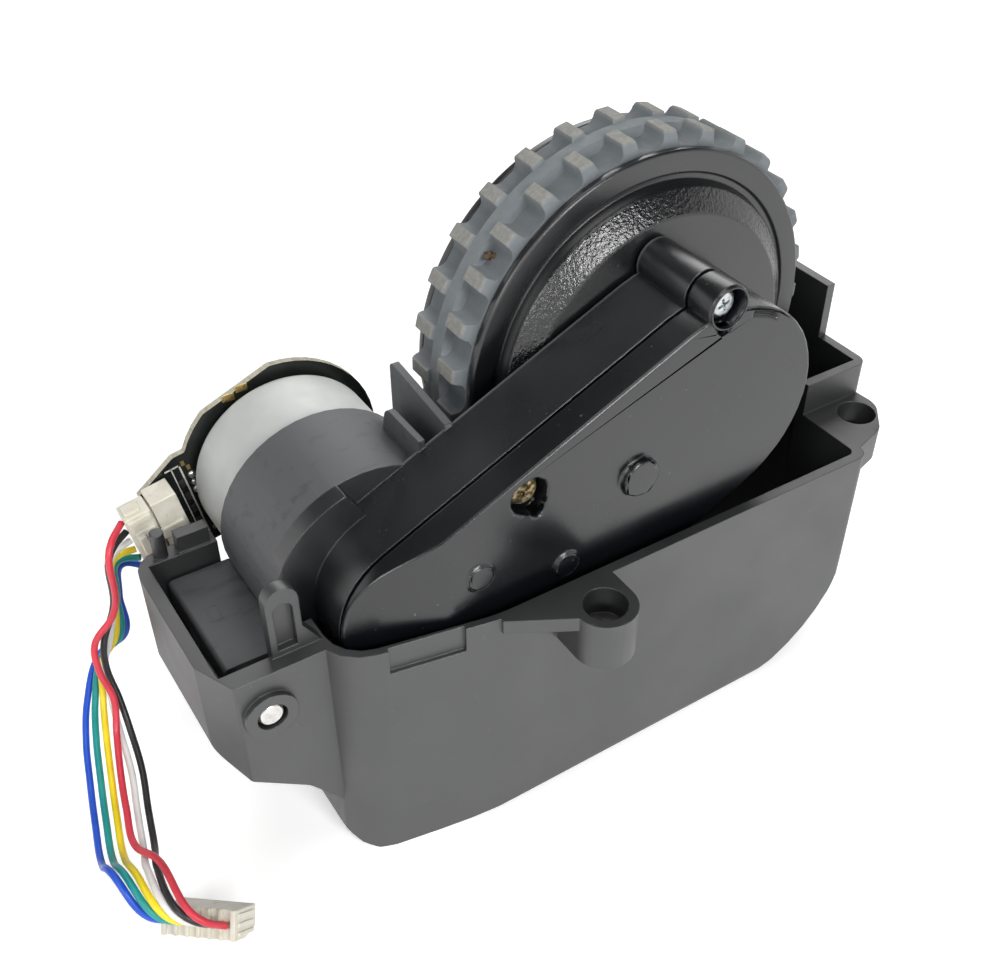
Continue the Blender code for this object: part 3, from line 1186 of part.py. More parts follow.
def make_wheel(finish, arm, wheel, output):
    as_part(output, finish["gear"], wheel)
    journal_end = COVER_FACE_Y + SHELL_FACE_WALL + SEAT_GAP
    shaft_end = -DISC_PROUD - RIM_FLANGE_WIDTH + HUB_BOSS_LENGTH - 0.0004
    shaft = turned("output_shaft", WHEEL_AXIS, [
        (0.0, shaft_end), (SHAFT_RADIUS - 0.0003, shaft_end), (SHAFT_RADIUS, shaft_end - 0.0003),
        (SHAFT_RADIUS, THIRD_STEP_Y[0]), (JOURNAL_RADIUS, THIRD_STEP_Y[0]),
        (JOURNAL_RADIUS, journal_end), (0.0, journal_end),
    ], 28)
    cut(shaft, rod("shaft_thread", WHEEL_AXIS, SCREW_SHANK_RADIUS + SEAT_GAP / 2,
                   shaft_end - 0.0090, shaft_end + 0.001))
    as_part(shaft, finish["steel"], wheel)

    bush = slab("cover_bush", [circle_loop(JOURNAL_RADIUS + RUN_GAP + BUSH_WALL, 20),
                               circle_loop(JOURNAL_RADIUS + RUN_GAP, 28)],
                journal_end, THIRD_STEP_Y[0] - 0.0016)
    bush.location.x = WHEEL_AXIS[0]
    bush.location.z = WHEEL_AXIS[1]
    as_part(bush, finish["bronze"], arm)
    bush = slab("base_bush", [circle_loop(SHAFT_RADIUS + RUN_GAP + BUSH_WALL, 20),
                              circle_loop(SHAFT_RADIUS + RUN_GAP, 28)],
                BASE_BACK_Y - BASE_BUSH_LENGTH, BASE_BACK_Y)
    bush.location.x = WHEEL_AXIS[0]
    bush.location.z = WHEEL_AXIS[1]
    as_part(bush, finish["bronze"], arm)

    make_hub(finish, wheel)
    make_tyre(finish, wheel)
    washer_y = shaft_end + 0.0004 + SEAT_GAP
    washer = slab("wheel_washer", [circle_loop(HUB_BOSS_RADIUS - 0.0006, 20),
                                   circle_loop(SCREW_SHANK_RADIUS + SEAT_GAP)],
                  washer_y, washer_y + 0.0008)
    washer.location.x = WHEEL_AXIS[0]
    washer.location.z = WHEEL_AXIS[1]
    as_part(washer, finish["zinc"], wheel)
    head = washer_y + 0.0008 + SEAT_GAP
    screw = turned("wheel_screw", WHEEL_AXIS, [
        (0.0, head + WHEEL_HEAD_HEIGHT), (WHEEL_HEAD_RADIUS * 0.7, head + WHEEL_HEAD_HEIGHT),
        (WHEEL_HEAD_RADIUS, head + WHEEL_HEAD_HEIGHT * 0.45), (WHEEL_HEAD_RADIUS, head),
        (SCREW_SHANK_RADIUS, head), (SCREW_SHANK_RADIUS, shaft_end - WHEEL_SCREW_GRIP),
        (0.0, shaft_end - WHEEL_SCREW_GRIP),
    ], 20)
    as_part(screw, finish["zinc"], wheel)


def make_hub(finish, wheel):
    """The wheel body: rim with two flanges, coned face and a central boss, open at the far side."""
    seat = WHEEL_RADIUS - TYRE_THICKNESS - SEAT_GAP
    face = -SEAT_GAP - RIM_FLANGE_WIDTH
    back = TYRE_WIDTH + SEAT_GAP + RIM_FLANGE_WIDTH
    disc = -RIM_FLANGE_WIDTH - DISC_PROUD
    inner = seat - RIM_WALL
    profile = [
        (inner, back), (RIM_FLANGE_RADIUS, back), (RIM_FLANGE_RADIUS, TYRE_WIDTH + SEAT_GAP),
        (seat, TYRE_WIDTH + SEAT_GAP), (seat, -SEAT_GAP), (RIM_FLANGE_RADIUS, -SEAT_GAP),
        (RIM_FLANGE_RADIUS, face + 0.0003), (RIM_FLANGE_RADIUS - 0.0003, face),
        (HUB_STEP_RADIUS, face), (HUB_STEP_RADIUS - 0.0003, face + HUB_STEP_DROP),
        (HUB_WELL_RADIUS, face + HUB_STEP_DROP), (CONE_RADIUS, face - CONE_RISE),
        (DISC_RADIUS, disc), (SHAFT_RADIUS + SEAT_GAP, disc),
        (SHAFT_RADIUS + SEAT_GAP, disc + HUB_BOSS_LENGTH), (HUB_BOSS_RADIUS, disc + HUB_BOSS_LENGTH),
        (HUB_BOSS_RADIUS, disc + HUB_WALL), (DISC_RADIUS - 0.0010, disc + HUB_WALL),
        (inner - 0.0014, face + HUB_WALL), (inner, face + HUB_WALL + 0.0016),
    ]
    hub = turned("wheel_hub", WHEEL_AXIS, profile, WHEEL_STEPS, closed=True)
    as_part(hub, finish["gloss"], wheel)


def make_tyre(finish, wheel):
    """Rubber tyre: two rows of lugs half a pitch apart beside a continuous centre band."""
    middle = TYRE_WIDTH / 2
    groove = WHEEL_RADIUS - BAND_DROP
    side = WHEEL_RADIUS - SIDE_DROP
    bore = WHEEL_RADIUS - TYRE_THICKNESS
    profile = [
        (side, TYRE_WIDTH), (WHEEL_RADIUS, TYRE_WIDTH - SIDE_SLOPE),
        (WHEEL_RADIUS, middle + BAND_GROOVE / 2), (groove, middle + BAND_GROOVE / 2 - 0.0001),
        (groove, middle - BAND_GROOVE / 2 + 0.0001), (WHEEL_RADIUS, middle - BAND_GROOVE / 2),
        (WHEEL_RADIUS, SIDE_SLOPE), (side, 0.0), (bore, 0.0), (bore, TYRE_WIDTH),
    ]
    tyre = turned("wheel_tyre", WHEEL_AXIS, profile, 2 * LUG_COUNT, closed=True)
    half = (2 * pi * WHEEL_RADIUS / LUG_COUNT - LUG_LENGTH) / 2
    scoop = rounded([
        (-half, WHEEL_RADIUS - SCOOP_DEPTH, SCOOP_CORNER), (half, WHEEL_RADIUS - SCOOP_DEPTH,
                                                            SCOOP_CORNER),
        (half + 0.0002, WHEEL_RADIUS + 0.0015, 0.0), (-half - 0.0002, WHEEL_RADIUS + 0.0015, 0.0),
    ], 2)
    edges = {"near": (-0.001, middle - BAND_WIDTH / 2), "far": (middle + BAND_WIDTH / 2,
                                                               TYRE_WIDTH + 0.001)}
    for row, (name, (low, high)) in enumerate(edges.items()):
        form = bmesh.new()
        one = slab("scoop_" + name, [scoop], low, high)
        form.from_mesh(one.data)
        bmesh.ops.transform(form, matrix=one.matrix_world, verts=form.verts)
        seed = list(form.verts) + list(form.edges) + list(form.faces)
        start = radians(SCOOP_LEAD) + row * pi / LUG_COUNT
        for k in range(1, LUG_COUNT):
            copy = bmesh.ops.duplicate(form, geom=seed)["geom"]
            dots = [item for item in copy if isinstance(item, bmesh.types.BMVert)]
            turn = Matrix.Rotation(-2 * pi * k / LUG_COUNT, 4, "Y")
            bmesh.ops.transform(form, matrix=turn, verts=dots)
        bmesh.ops.transform(form, matrix=Matrix.Rotation(start, 4, "Y"), verts=form.verts)
        bpy.data.objects.remove(one, do_unlink=True)
        ring = mesh_object("scoops_" + name, form)
        ring.location = (WHEEL_AXIS[0], 0.0, WHEEL_AXIS[1])
        cut(tyre, ring)
    as_part(tyre, finish["rubber"], wheel)


# Turn of the tread that puts a near-row lug 19.5 degrees behind the wheel's top
SCOOP_LEAD = -(19.5 - 180.0 / LUG_COUNT)


def make_spring(steel):
    """Extension spring between the lever's hook and the housing's post."""
    hook = Vector((PIN_AXIS[0], SPRING_Y, PIN_AXIS[1] - LEVER_LENGTH))
    anchor = Vector((SPRING_POST[0], SPRING_Y, SPRING_POST[1]))
    reach = POST_RADIUS + SPRING_WIRE + SEAT_GAP
    line = (anchor - hook).normalized()
    up = Vector((0.0, 1.0, 0.0))
    side = line.cross(up).normalized()
    points = []
    for k in range(7):
        turn = radians(270.0 - 270.0 * k / 6)
        points.append(hook + line * cos(turn) * reach + side * sin(turn) * reach)
    begin = hook + line * (reach + 0.0024)
    length = (anchor - hook).length - 2 * (reach + 0.0024)
    steps = SPRING_TURNS * 7
    for k in range(steps + 1):
        turn = 2 * pi * SPRING_TURNS * k / steps
        ring = (up * cos(turn) + side * sin(turn)) * SPRING_RADIUS
        points.append(begin + line * (length * k / steps) + ring)
    for k in range(7):
        turn = radians(270.0 * k / 6)
        points.append(anchor - line * cos(turn) * reach - side * sin(turn) * reach)
    return as_part(tube("arm_spring", points, SPRING_WIRE, 1), steel)


def make_pin(steel):
    near = BLOCK_NEAR_Y - PIN_BOSS_PROUD + PIN_RECESS
    far = BLOCK_FAR_Y - 0.0010 - SEAT_GAP
    pin = turned("pivot_pin", PIN_AXIS, [
        (0.0, far), (PIN_RADIUS - 0.0004, far), (PIN_RADIUS, far - 0.0004),
        (PIN_RADIUS, near + 0.0004), (PIN_RADIUS - 0.0004, near), (0.0, near),
    ], 28)
    return as_part(pin, steel)


def main():
    start_scene()
    finish = {
        "housing": material("matte_black_plastic", (0.020, 0.021, 0.023), 0.55),
        "gloss": material("hub_black_plastic", (0.012, 0.013, 0.015), 0.28),
        "shell": material("shell_black_plastic", (0.014, 0.015, 0.017), 0.38),
        "rubber": material("grey_rubber", (0.22, 0.24, 0.25), 0.75),
        "zinc": material("zinc_steel", (0.62, 0.63, 0.62), 0.42, 0.85),
        "steel": material("bright_steel", (0.72, 0.72, 0.71), 0.22, 1.0),
        "brass": material("brass", (0.72, 0.55, 0.25), 0.32, 1.0),
        "bronze": material("sintered_bronze", (0.45, 0.27, 0.13), 0.50, 0.9),
        "magnet": material("ferrite", (0.03, 0.03, 0.032), 0.60),
        "board": material("board_black", (0.012, 0.014, 0.013), 0.35),
        "ivory": material("ivory_nylon", (0.82, 0.79, 0.70), 0.40),
        "gear": material("natural_acetal", (0.80, 0.80, 0.76), 0.35),
        "black": material("moulded_black", (0.015, 0.015, 0.016), 0.50),
    }
    arm = pivot_empty("arm_pivot", PIN_AXIS)
    rotor = pivot_empty("rotor_axis", MOTOR_AXIS)
    wheel = pivot_empty("wheel_axis", WHEEL_AXIS)
    make_housing(finish["housing"])
    make_pin(finish["steel"])
    make_base(finish["shell"], arm)
    make_cover(finish["shell"], arm)
    head = COVER_FACE_Y + COUNTERBORE_DEPTH - SEAT_GAP
    for name, axis, look in (("cover_screw_top", TOP_SCREW, "zinc"),
                             ("cover_screw_middle", MIDDLE_SCREW, "brass"),
                             ("cover_screw_tail", TAIL_SCREW, "zinc"),
                             ("cover_screw_low", LOW_SCREW, "zinc")):
        make_screw(name, axis, head, finish[look], arm)
    magnet_y = make_motor(finish, arm, rotor)
    make_board(finish, arm, magnet_y)
    plug_y, plug_along = make_connectors(finish, arm)
    make_wires(arm, plug_y, plug_along)
    output = make_gears(finish, arm, rotor)
    make_wheel(finish, arm, wheel, output)
    make_spring(finish["steel"])


main()
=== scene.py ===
from math import cos, pi, radians, sin, sqrt

import bmesh
import bpy
from mathutils import Matrix, Vector, noise


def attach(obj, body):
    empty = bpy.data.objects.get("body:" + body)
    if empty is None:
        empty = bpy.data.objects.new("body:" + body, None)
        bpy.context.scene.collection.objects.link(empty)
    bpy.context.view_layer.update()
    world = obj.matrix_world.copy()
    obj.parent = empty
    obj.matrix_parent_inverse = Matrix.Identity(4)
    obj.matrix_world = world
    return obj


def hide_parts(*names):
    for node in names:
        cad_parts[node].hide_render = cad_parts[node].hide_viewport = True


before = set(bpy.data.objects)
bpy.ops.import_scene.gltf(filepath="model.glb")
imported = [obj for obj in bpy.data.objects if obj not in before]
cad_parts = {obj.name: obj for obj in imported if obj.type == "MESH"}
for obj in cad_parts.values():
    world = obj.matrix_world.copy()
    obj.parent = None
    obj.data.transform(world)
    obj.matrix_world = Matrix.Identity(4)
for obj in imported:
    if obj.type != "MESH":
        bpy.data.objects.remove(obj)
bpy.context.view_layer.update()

# The photograph's camera.
# It looks down on the pivot pin's corner of the module, from the left and the front.
CAMERA_AZIMUTH = radians(-33.459)
CAMERA_ELEVATION = radians(39.732)
CAMERA_ROLL = radians(0.602)
CAMERA_PLACE = Vector((-0.11007, -0.13171, 0.17055))
LENS_MM = 45.44
SHIFT = (-0.0279, 0.0097)

back = Vector((sin(CAMERA_AZIMUTH) * cos(CAMERA_ELEVATION),
               -cos(CAMERA_AZIMUTH) * cos(CAMERA_ELEVATION), sin(CAMERA_ELEVATION)))
level = Vector((cos(CAMERA_AZIMUTH), sin(CAMERA_AZIMUTH), 0.0))
upright = back.cross(level)
right = level * cos(CAMERA_ROLL) + upright * sin(CAMERA_ROLL)
top = upright * cos(CAMERA_ROLL) - level * sin(CAMERA_ROLL)
eye = bpy.data.cameras.new("photo_camera")
eye.sensor_fit = "HORIZONTAL"
eye.sensor_width = 36.0
eye.lens = LENS_MM
eye.shift_x, eye.shift_y = SHIFT
eye.clip_start = 0.01
camera = bpy.data.objects.new("photo_camera", eye)
bpy.context.scene.collection.objects.link(camera)
camera.matrix_world = Matrix.Translation(CAMERA_PLACE) @ Matrix((right, top, back)).transposed().to_4x4()
bpy.context.scene.camera = camera

# The studio: a white table that runs to a white horizon, a dim room above it and four soft boxes.
# The dim room keeps the black plastic black, and the boxes give it its sheen and its edge lights.
TABLE_SIZE = 6.0
TABLE_COLOUR = (0.93, 0.93, 0.93, 1.0)
TABLE_LIFT = 0.42
HORIZON_LIGHT = 0.60
HORIZON_FADE = (0.02, 0.45)
BACKDROP_FADE = (0.32, 0.52)
ROOM_LIGHT = 0.10
SCENE_MIDDLE = (0.0, 0.0, 0.04)
SOFT_BOXES = (
    ("overhead_box", (-0.10, 0.05, 1.00), 0.60, 0.60, 2.8),
    ("far_box", (0.42, 0.66, 0.66), 0.75, 0.45, 3.6),
    ("near_box", (0.02, -0.86, 0.56), 0.34, 0.34, 5.5),
    ("left_box", (-0.72, -0.42, 0.50), 0.50, 0.40, 3.0),
)


def straight_look(tree):
    """1 for what the camera, a reflection or a clear body shows, 0 for the light on the pieces."""
    seen = tree.nodes.new("ShaderNodeLightPath")
    total = seen.outputs["Is Camera Ray"]
    for ray in ("Is Glossy Ray", "Is Transmission Ray"):
        more = tree.nodes.new("ShaderNodeMath")
        more.operation = "MAXIMUM"
        tree.links.new(total, more.inputs[0])
        tree.links.new(seen.outputs[ray], more.inputs[1])
        total = more.outputs[0]
    return total


sheet = bmesh.new()
bmesh.ops.create_grid(sheet, x_segments=1, y_segments=1, size=TABLE_SIZE / 2)
table_mesh = bpy.data.meshes.new("table")
sheet.to_mesh(table_mesh)
sheet.free()
table = bpy.data.objects.new("table", table_mesh)
bpy.context.scene.collection.objects.link(table)
table_paint = bpy.data.materials.new("table_white")
table_paint.use_nodes = True
paint = table_paint.node_tree.nodes
shader = paint["Principled BSDF"]
shader.inputs["Base Color"].default_value = TABLE_COLOUR
shader.inputs["Roughness"].default_value = 0.9
shader.inputs["Emission Color"].default_value = (1.0, 1.0, 1.0, 1.0)
lift = paint.new("ShaderNodeMath")
lift.operation = "MULTIPLY"
lift.inputs[1].default_value = TABLE_LIFT
table_paint.node_tree.links.new(straight_look(table_paint.node_tree), lift.inputs[0])
table_paint.node_tree.links.new(lift.outputs[0], shader.inputs["Emission Strength"])
table_mesh.materials.append(table_paint)

surround = bpy.data.worlds.new("surround")
bpy.context.scene.world = surround
surround.use_nodes = True
air = surround.node_tree.nodes
links = surround.node_tree.links
glow = air["Background"]
place = air.new("ShaderNodeTexCoord")
parts = air.new("ShaderNodeSeparateXYZ")
brighter = air.new("ShaderNodeMix")
brighter.data_type = "FLOAT"
links.new(place.outputs["Generated"], parts.inputs[0])
for socket, strength, fade in (("A", HORIZON_LIGHT, HORIZON_FADE), ("B", 1.0, BACKDROP_FADE)):
    climb = air.new("ShaderNodeMapRange")
    climb.interpolation_type = "SMOOTHSTEP"
    climb.inputs["From Min"].default_value, climb.inputs["From Max"].default_value = fade
    climb.inputs["To Min"].default_value = strength
    climb.inputs["To Max"].default_value = ROOM_LIGHT
    links.new(parts.outputs["Z"], climb.inputs["Value"])
    links.new(climb.outputs[0], brighter.inputs[socket])
links.new(straight_look(surround.node_tree), brighter.inputs["Factor"])
links.new(brighter.outputs["Result"], glow.inputs["Strength"])
glow.inputs["Color"].default_value = (1.0, 1.0, 1.0, 1.0)

for name, spot, wide, tall, watts in SOFT_BOXES:
    lamp = bpy.data.lights.new(name, "AREA")
    lamp.shape = "RECTANGLE"
    lamp.size = wide
    lamp.size_y = tall
    lamp.energy = watts
    lamp_object = bpy.data.objects.new(name, lamp)
    bpy.context.scene.collection.objects.link(lamp_object)
    lamp_object.location = spot
    toward = Vector(SCENE_MIDDLE) - Vector(spot)
    lamp_object.rotation_euler = toward.to_track_quat("-Z", "Y").to_euler()
bpy.context.scene.view_settings.view_transform = "Standard"

# Harness connectors: two small housings moulded in ivory nylon, each with six ways at 2 mm.
# The plug is latched into the header on the motor's board, and the end connector hangs loose.
MOTOR_AXIS = (-0.0536, 0.0456)
TAB_TILT = radians(190.5)
WAYS = 6
WAY_PITCH = 0.0020
SEAT_GAP = 0.0003
PLUG_FRONT = 0.0232
PLUG_REAR = 0.0274
PLUG_NEAR_Y = 0.0191
PLUG_HALF = 0.0069
END_CENTRE = (-0.0936, -0.0235, 0.0066)
END_HEADING = -49.3
END_RISE = 17.5
END_ROLL = 47.8
END_HALF = 0.0066
END_SIDE = 0.0022
END_LENGTH = 0.0046
IVORY = (0.80, 0.775, 0.69)
IVORY_DEEP = (0.70, 0.655, 0.53)


def finish_of(name, colour, roughness, metallic=0.0):
    """A new material with the given plain finish, and its shader node."""
    made = bpy.data.materials.new(name)
    made.use_nodes = True
    bsdf = made.node_tree.nodes["Principled BSDF"]
    bsdf.inputs["Base Color"].default_value = (*colour, 1.0)
    bsdf.inputs["Roughness"].default_value = roughness
    bsdf.inputs["Metallic"].default_value = metallic
    return made, bsdf


def noise_on(made, scale, detail=3.0, stretch=None):
    """The value of a noise laid in the piece's own space, in cycles a metre."""
    tree = made.node_tree
    where = tree.nodes.new("ShaderNodeTexCoord")
    cloud = tree.nodes.new("ShaderNodeTexNoise")
    cloud.inputs["Scale"].default_value = scale
    cloud.inputs["Detail"].default_value = detail
    if stretch is None:
        tree.links.new(where.outputs["Object"], cloud.inputs["Vector"])
    else:
        squeeze = tree.nodes.new("ShaderNodeMapping")
        squeeze.inputs["Scale"].default_value = stretch
        tree.links.new(where.outputs["Object"], squeeze.inputs["Vector"])
        tree.links.new(squeeze.outputs[0], cloud.inputs["Vector"])
    return cloud.outputs["Fac"]


def spread(made, value, low, high, from_low=0.3, from_high=0.7):
    """The value stretched to run from low to high."""
    reach = made.node_tree.nodes.new("ShaderNodeMapRange")
    reach.inputs["From Min"].default_value = from_low
    reach.inputs["From Max"].default_value = from_high
    reach.inputs["To Min"].default_value = low
    reach.inputs["To Max"].default_value = high
    made.node_tree.links.new(value, reach.inputs["Value"])
    return reach.outputs[0]


def two_tone(made, value, first, second):
    """A colour that runs from the first to the second with the value."""
    mix = made.node_tree.nodes.new("ShaderNodeMix")
    mix.data_type = "RGBA"
    for socket, tone in (("A", first), ("B", second)):
        if isinstance(tone, tuple):
            mix.inputs[socket].default_value = (*tone, 1.0)
        else:
            made.node_tree.links.new(tone, mix.inputs[socket])
    made.node_tree.links.new(value, mix.inputs["Factor"])
    return mix.outputs["Result"]


def dimpled(made, bsdf, value, height, earlier=None):
    """Bump of the given height in metres from the value, on top of an earlier bump."""
    bump = made.node_tree.nodes.new("ShaderNodeBump")
    bump.inputs["Strength"].default_value = 1.0
    bump.inputs["Distance"].default_value = height
    made.node_tree.links.new(value, bump.inputs["Height"])
    if earlier is not None:
        made.node_tree.links.new(earlier, bump.inputs["Normal"])
    made.node_tree.links.new(bump.outputs[0], bsdf.inputs["Normal"])
    return bump.outputs[0]


def piece_of(name, form, edge=0.0, segments=2, sharp=34.0):
    """An object from the mesh being built, with its edges rounded by a bevel."""
    shape = bpy.data.meshes.new(name)
    form.to_mesh(shape)
    form.free()
    shape.shade_smooth()
    shape.set_sharp_from_angle(angle=radians(sharp))
    piece = bpy.data.objects.new(name, shape)
    bpy.context.scene.collection.objects.link(piece)
    if edge > 0.0:
        round_off = piece.modifiers.new("rounded_edges", "BEVEL")
        round_off.width = edge
        round_off.segments = segments
        round_off.limit_method = "ANGLE"
        round_off.angle_limit = radians(sharp)
        round_off.use_clamp_overlap = True
        level_off = piece.modifiers.new("even_faces", "WEIGHTED_NORMAL")
        level_off.keep_sharp = False
        level_off.weight = 80
    return piece


WELD_REACH = 0.000002
FLAT_ANGLE = radians(0.6)
ROUNDED_ANGLE = radians(32.0)


def softened(name, node, body, edge, segments=3, clamp=False):
    """The node's own form with its edges rounded, standing for the node."""
    form = bmesh.new()
    form.from_mesh(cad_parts[node].data)
    bmesh.ops.remove_doubles(form, verts=form.verts, dist=WELD_REACH)
    bmesh.ops.dissolve_limit(form, angle_limit=FLAT_ANGLE, verts=form.verts, edges=form.edges)
    bmesh.ops.triangulate(form, faces=form.faces, quad_method="BEAUTY", ngon_method="BEAUTY")
    shape = bpy.data.meshes.new(name)
    form.to_mesh(shape)
    form.free()
    shape.materials.clear()
    shape.shade_smooth()
    piece = bpy.data.objects.new(name, shape)
    bpy.context.scene.collection.objects.link(piece)
    round_off = piece.modifiers.new("rounded_edges", "BEVEL")
    round_off.width = edge
    round_off.segments = segments
    round_off.limit_method = "ANGLE"
    round_off.angle_limit = ROUNDED_ANGLE
    round_off.use_clamp_overlap = clamp
    round_off.harden_normals = False
    level_off = piece.modifiers.new("even_faces", "WEIGHTED_NORMAL")
    level_off.keep_sharp = True
    level_off.weight = 80
    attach(piece, body)
    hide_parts(node)
    return piece


def tab_point(along, across, y):
    """A place on the board's tab, out from the motor's axis and down across the row of ways."""
    out = Vector((cos(TAB_TILT), 0.0, sin(TAB_TILT)))
    side = Vector((-sin(TAB_TILT), 0.0, cos(TAB_TILT)))
    return Vector((MOTOR_AXIS[0], y, MOTOR_AXIS[1])) + out * along + side * across


def end_frame():
    """The end connector's frame: X along its ways, Z out of the side with the wires."""
    turn = Matrix.Rotation(radians(END_HEADING), 4, "Z")
    rise = Matrix.Rotation(radians(-END_RISE), 4, "Y")
    return Matrix.Translation(END_CENTRE) @ turn @ rise @ Matrix.Rotation(radians(END_ROLL), 4, "X")


def block(form, corners):
    """A block between eight corners, the first four round one end and the last four round the other."""
    dots = [form.verts.new(corner) for corner in corners]
    for ring in ((3, 2, 1, 0), (4, 5, 6, 7), (0, 1, 5, 4), (1, 2, 6, 5), (2, 3, 7, 6), (3, 0, 4, 7)):
        form.faces.new([dots[k] for k in ring])


def tab_block(form, along, across, depth):
    """A block in the tab's own directions: along it, across it and in Y."""
    block(form, [tab_point(a, c, y) for y in depth
                 for a, c in ((along[0], across[0]), (along[1], across[0]),
                              (along[1], across[1]), (along[0], across[1]))])


def end_block(form, x, y, z):
    """A block in the end connector's own directions."""
    block(form, [end_frame() @ Vector((a, b, c)) for c in z
                 for a, b in ((x[0], y[0]), (x[1], y[0]), (x[1], y[1]), (x[0], y[1]))])


ivory, bsdf = finish_of("ivory_nylon", IVORY, 0.42)
shade = two_tone(ivory, spread(ivory, noise_on(ivory, 420.0, 4.0), 0.0, 1.0), IVORY, IVORY_DEEP)
grime = spread(ivory, noise_on(ivory, 900.0, 5.0), 0.0, 0.5, 0.60, 0.80)
ivory.node_tree.links.new(two_tone(ivory, grime, shade, (0.42, 0.38, 0.30)), bsdf.inputs["Base Color"])
ivory.node_tree.links.new(spread(ivory, noise_on(ivory, 1500.0), 0.34, 0.52), bsdf.inputs["Roughness"])
dimpled(ivory, bsdf, noise_on(ivory, 2600.0, 2.0), 0.000025)
bsdf.inputs["Subsurface Weight"].default_value = 0.12
bsdf.inputs["Subsurface Radius"].default_value = (0.0010, 0.0008, 0.0005)
bsdf.inputs["Subsurface Scale"].default_value = 0.6

header = softened("header_shroud", "board_header", "arm", 0.00022)
header.data.materials.append(ivory)
plug = softened("connector_plug", "harness_plug", "arm", 0.00030)
plug.data.materials.append(ivory)
trim = bmesh.new()
tab_block(trim, (PLUG_FRONT + 0.0004, PLUG_REAR - 0.0006), (-0.0040, 0.0016),
          (PLUG_NEAR_Y - 0.0006, PLUG_NEAR_Y + 0.0003))
tab_block(trim, (PLUG_REAR - 0.0019, PLUG_REAR - 0.0007), (-0.0034, 0.0010),
          (PLUG_NEAR_Y - 0.0012, PLUG_NEAR_Y + 0.0003))
tab_block(trim, (PLUG_FRONT - 0.0040, PLUG_FRONT + 0.0008), (-0.0022, -0.0002),
          (PLUG_NEAR_Y - 0.0003, PLUG_NEAR_Y + 0.0004))
for low in (-0.0064, 0.0030, 0.0050):
    tab_block(trim, (PLUG_FRONT + 0.0002, PLUG_REAR - 0.0003), (low, low + 0.0010),
              (PLUG_NEAR_Y - 0.0004, PLUG_NEAR_Y + 0.0003))
tab_block(trim, (PLUG_FRONT + 0.0012, PLUG_REAR - 0.0004), (-PLUG_HALF - 0.0004, -PLUG_HALF + 0.0003),
          (PLUG_NEAR_Y + 0.0009, PLUG_NEAR_Y + 0.0032))
plug_trim = piece_of("plug_trim", trim, 0.00016, 3)
plug_trim.data.materials.append(ivory)
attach(plug_trim, "arm")

connector = softened("connector_end", "end_connector", "arm", 0.00022)
connector.data.materials.append(ivory)
trim = bmesh.new()
for k in range(WAYS - 1):
    gap = (k - (WAYS - 2) / 2) * WAY_PITCH
    end_block(trim, (gap - 0.0003, gap + 0.0003), (-END_SIDE, END_SIDE), (-0.0003, 0.0006))
for side in (-1.0, 1.0):
    outer = side * END_HALF
    end_block(trim, sorted((outer - side * 0.0008, outer)), (-END_SIDE, END_SIDE), (-0.0003, 0.0006))
for k in range(3):
    low = -END_SIDE + 0.0006 + k * 0.0013
    end_block(trim, (END_HALF - 0.0003, END_HALF + 0.0003), (low, low + 0.0006),
              (-END_LENGTH + 0.0008, -0.0002))
end_trim = piece_of("end_trim", trim, 0.00012, 2)
end_trim.data.materials.append(ivory)
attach(end_trim, "arm")

# Wire harness: six stranded wires in thin PVC, one colour a way, crimped into both connectors.
# They leave the plug as a flat band, twist once on the way down and run to the end connector.
WIRE_RADIUS = 0.00055
BUNDLE_PITCH = 0.00164
PLUG_Y = 0.0216
PLUG_LEADS = ((SEAT_GAP, 0.0), (0.0029, 0.0011))
END_LEADS = ((-0.0008, 0.0014, 0.0044), (0.0, 0.0, SEAT_GAP + 0.0002))
BUNDLE = (
    ((-0.0859, 0.0214, 0.0309), 127.0),
    ((-0.0882, 0.0192, 0.0253), 104.0),
    ((-0.0903, 0.0192, 0.0215), 130.0),
    ((-0.0919, 0.0160, 0.0165), 150.0),
    ((-0.0934, 0.0120, 0.0125), 172.0),
    ((-0.0951, 0.0062, 0.0100), 180.0),
    ((-0.0969, -0.0010, 0.0088), 182.0),
    ((-0.0984, -0.0085, 0.0088), 186.0),
    ((-0.0983, -0.0146, 0.0120), 206.0),
)
STRAIGHT = ((0.0, 0.0),) * len(BUNDLE)
HANDLE_SHARE = 0.36
WIRES = (
    ("wire_red", (0.62, 0.030, 0.055), ((0.0, 0.0), (0.0, 0.4), (0.0, 0.8), (-0.8, 1.0), (-1.7, 1.0),
                                        (-2.0, 0.9), (-2.0, 0.9), (-1.9, 0.9), (-1.0, 0.9))),
    ("wire_black", (0.010, 0.010, 0.011), ((0.0, 0.0), (0.0, 0.0), (0.0, 0.0), (0.0, 0.0),
                                           (0.4, 0.0), (0.9, 0.0), (0.9, 0.0), (0.8, 0.0),
                                           (0.2, -0.1))),
    ("wire_white", (0.74, 0.74, 0.73), ((0.0, 0.0), (0.0, 0.0), (0.0, 0.0), (0.0, 0.0),
                                        (0.4, 0.0), (0.9, 0.0), (0.9, 0.0), (0.8, 0.0), (0.2, 0.0))),
    ("wire_yellow", (0.80, 0.62, 0.004), STRAIGHT),
    ("wire_green", (0.0, 0.26, 0.25), STRAIGHT),
    ("wire_blue", (0.004, 0.070, 0.52), STRAIGHT),
)


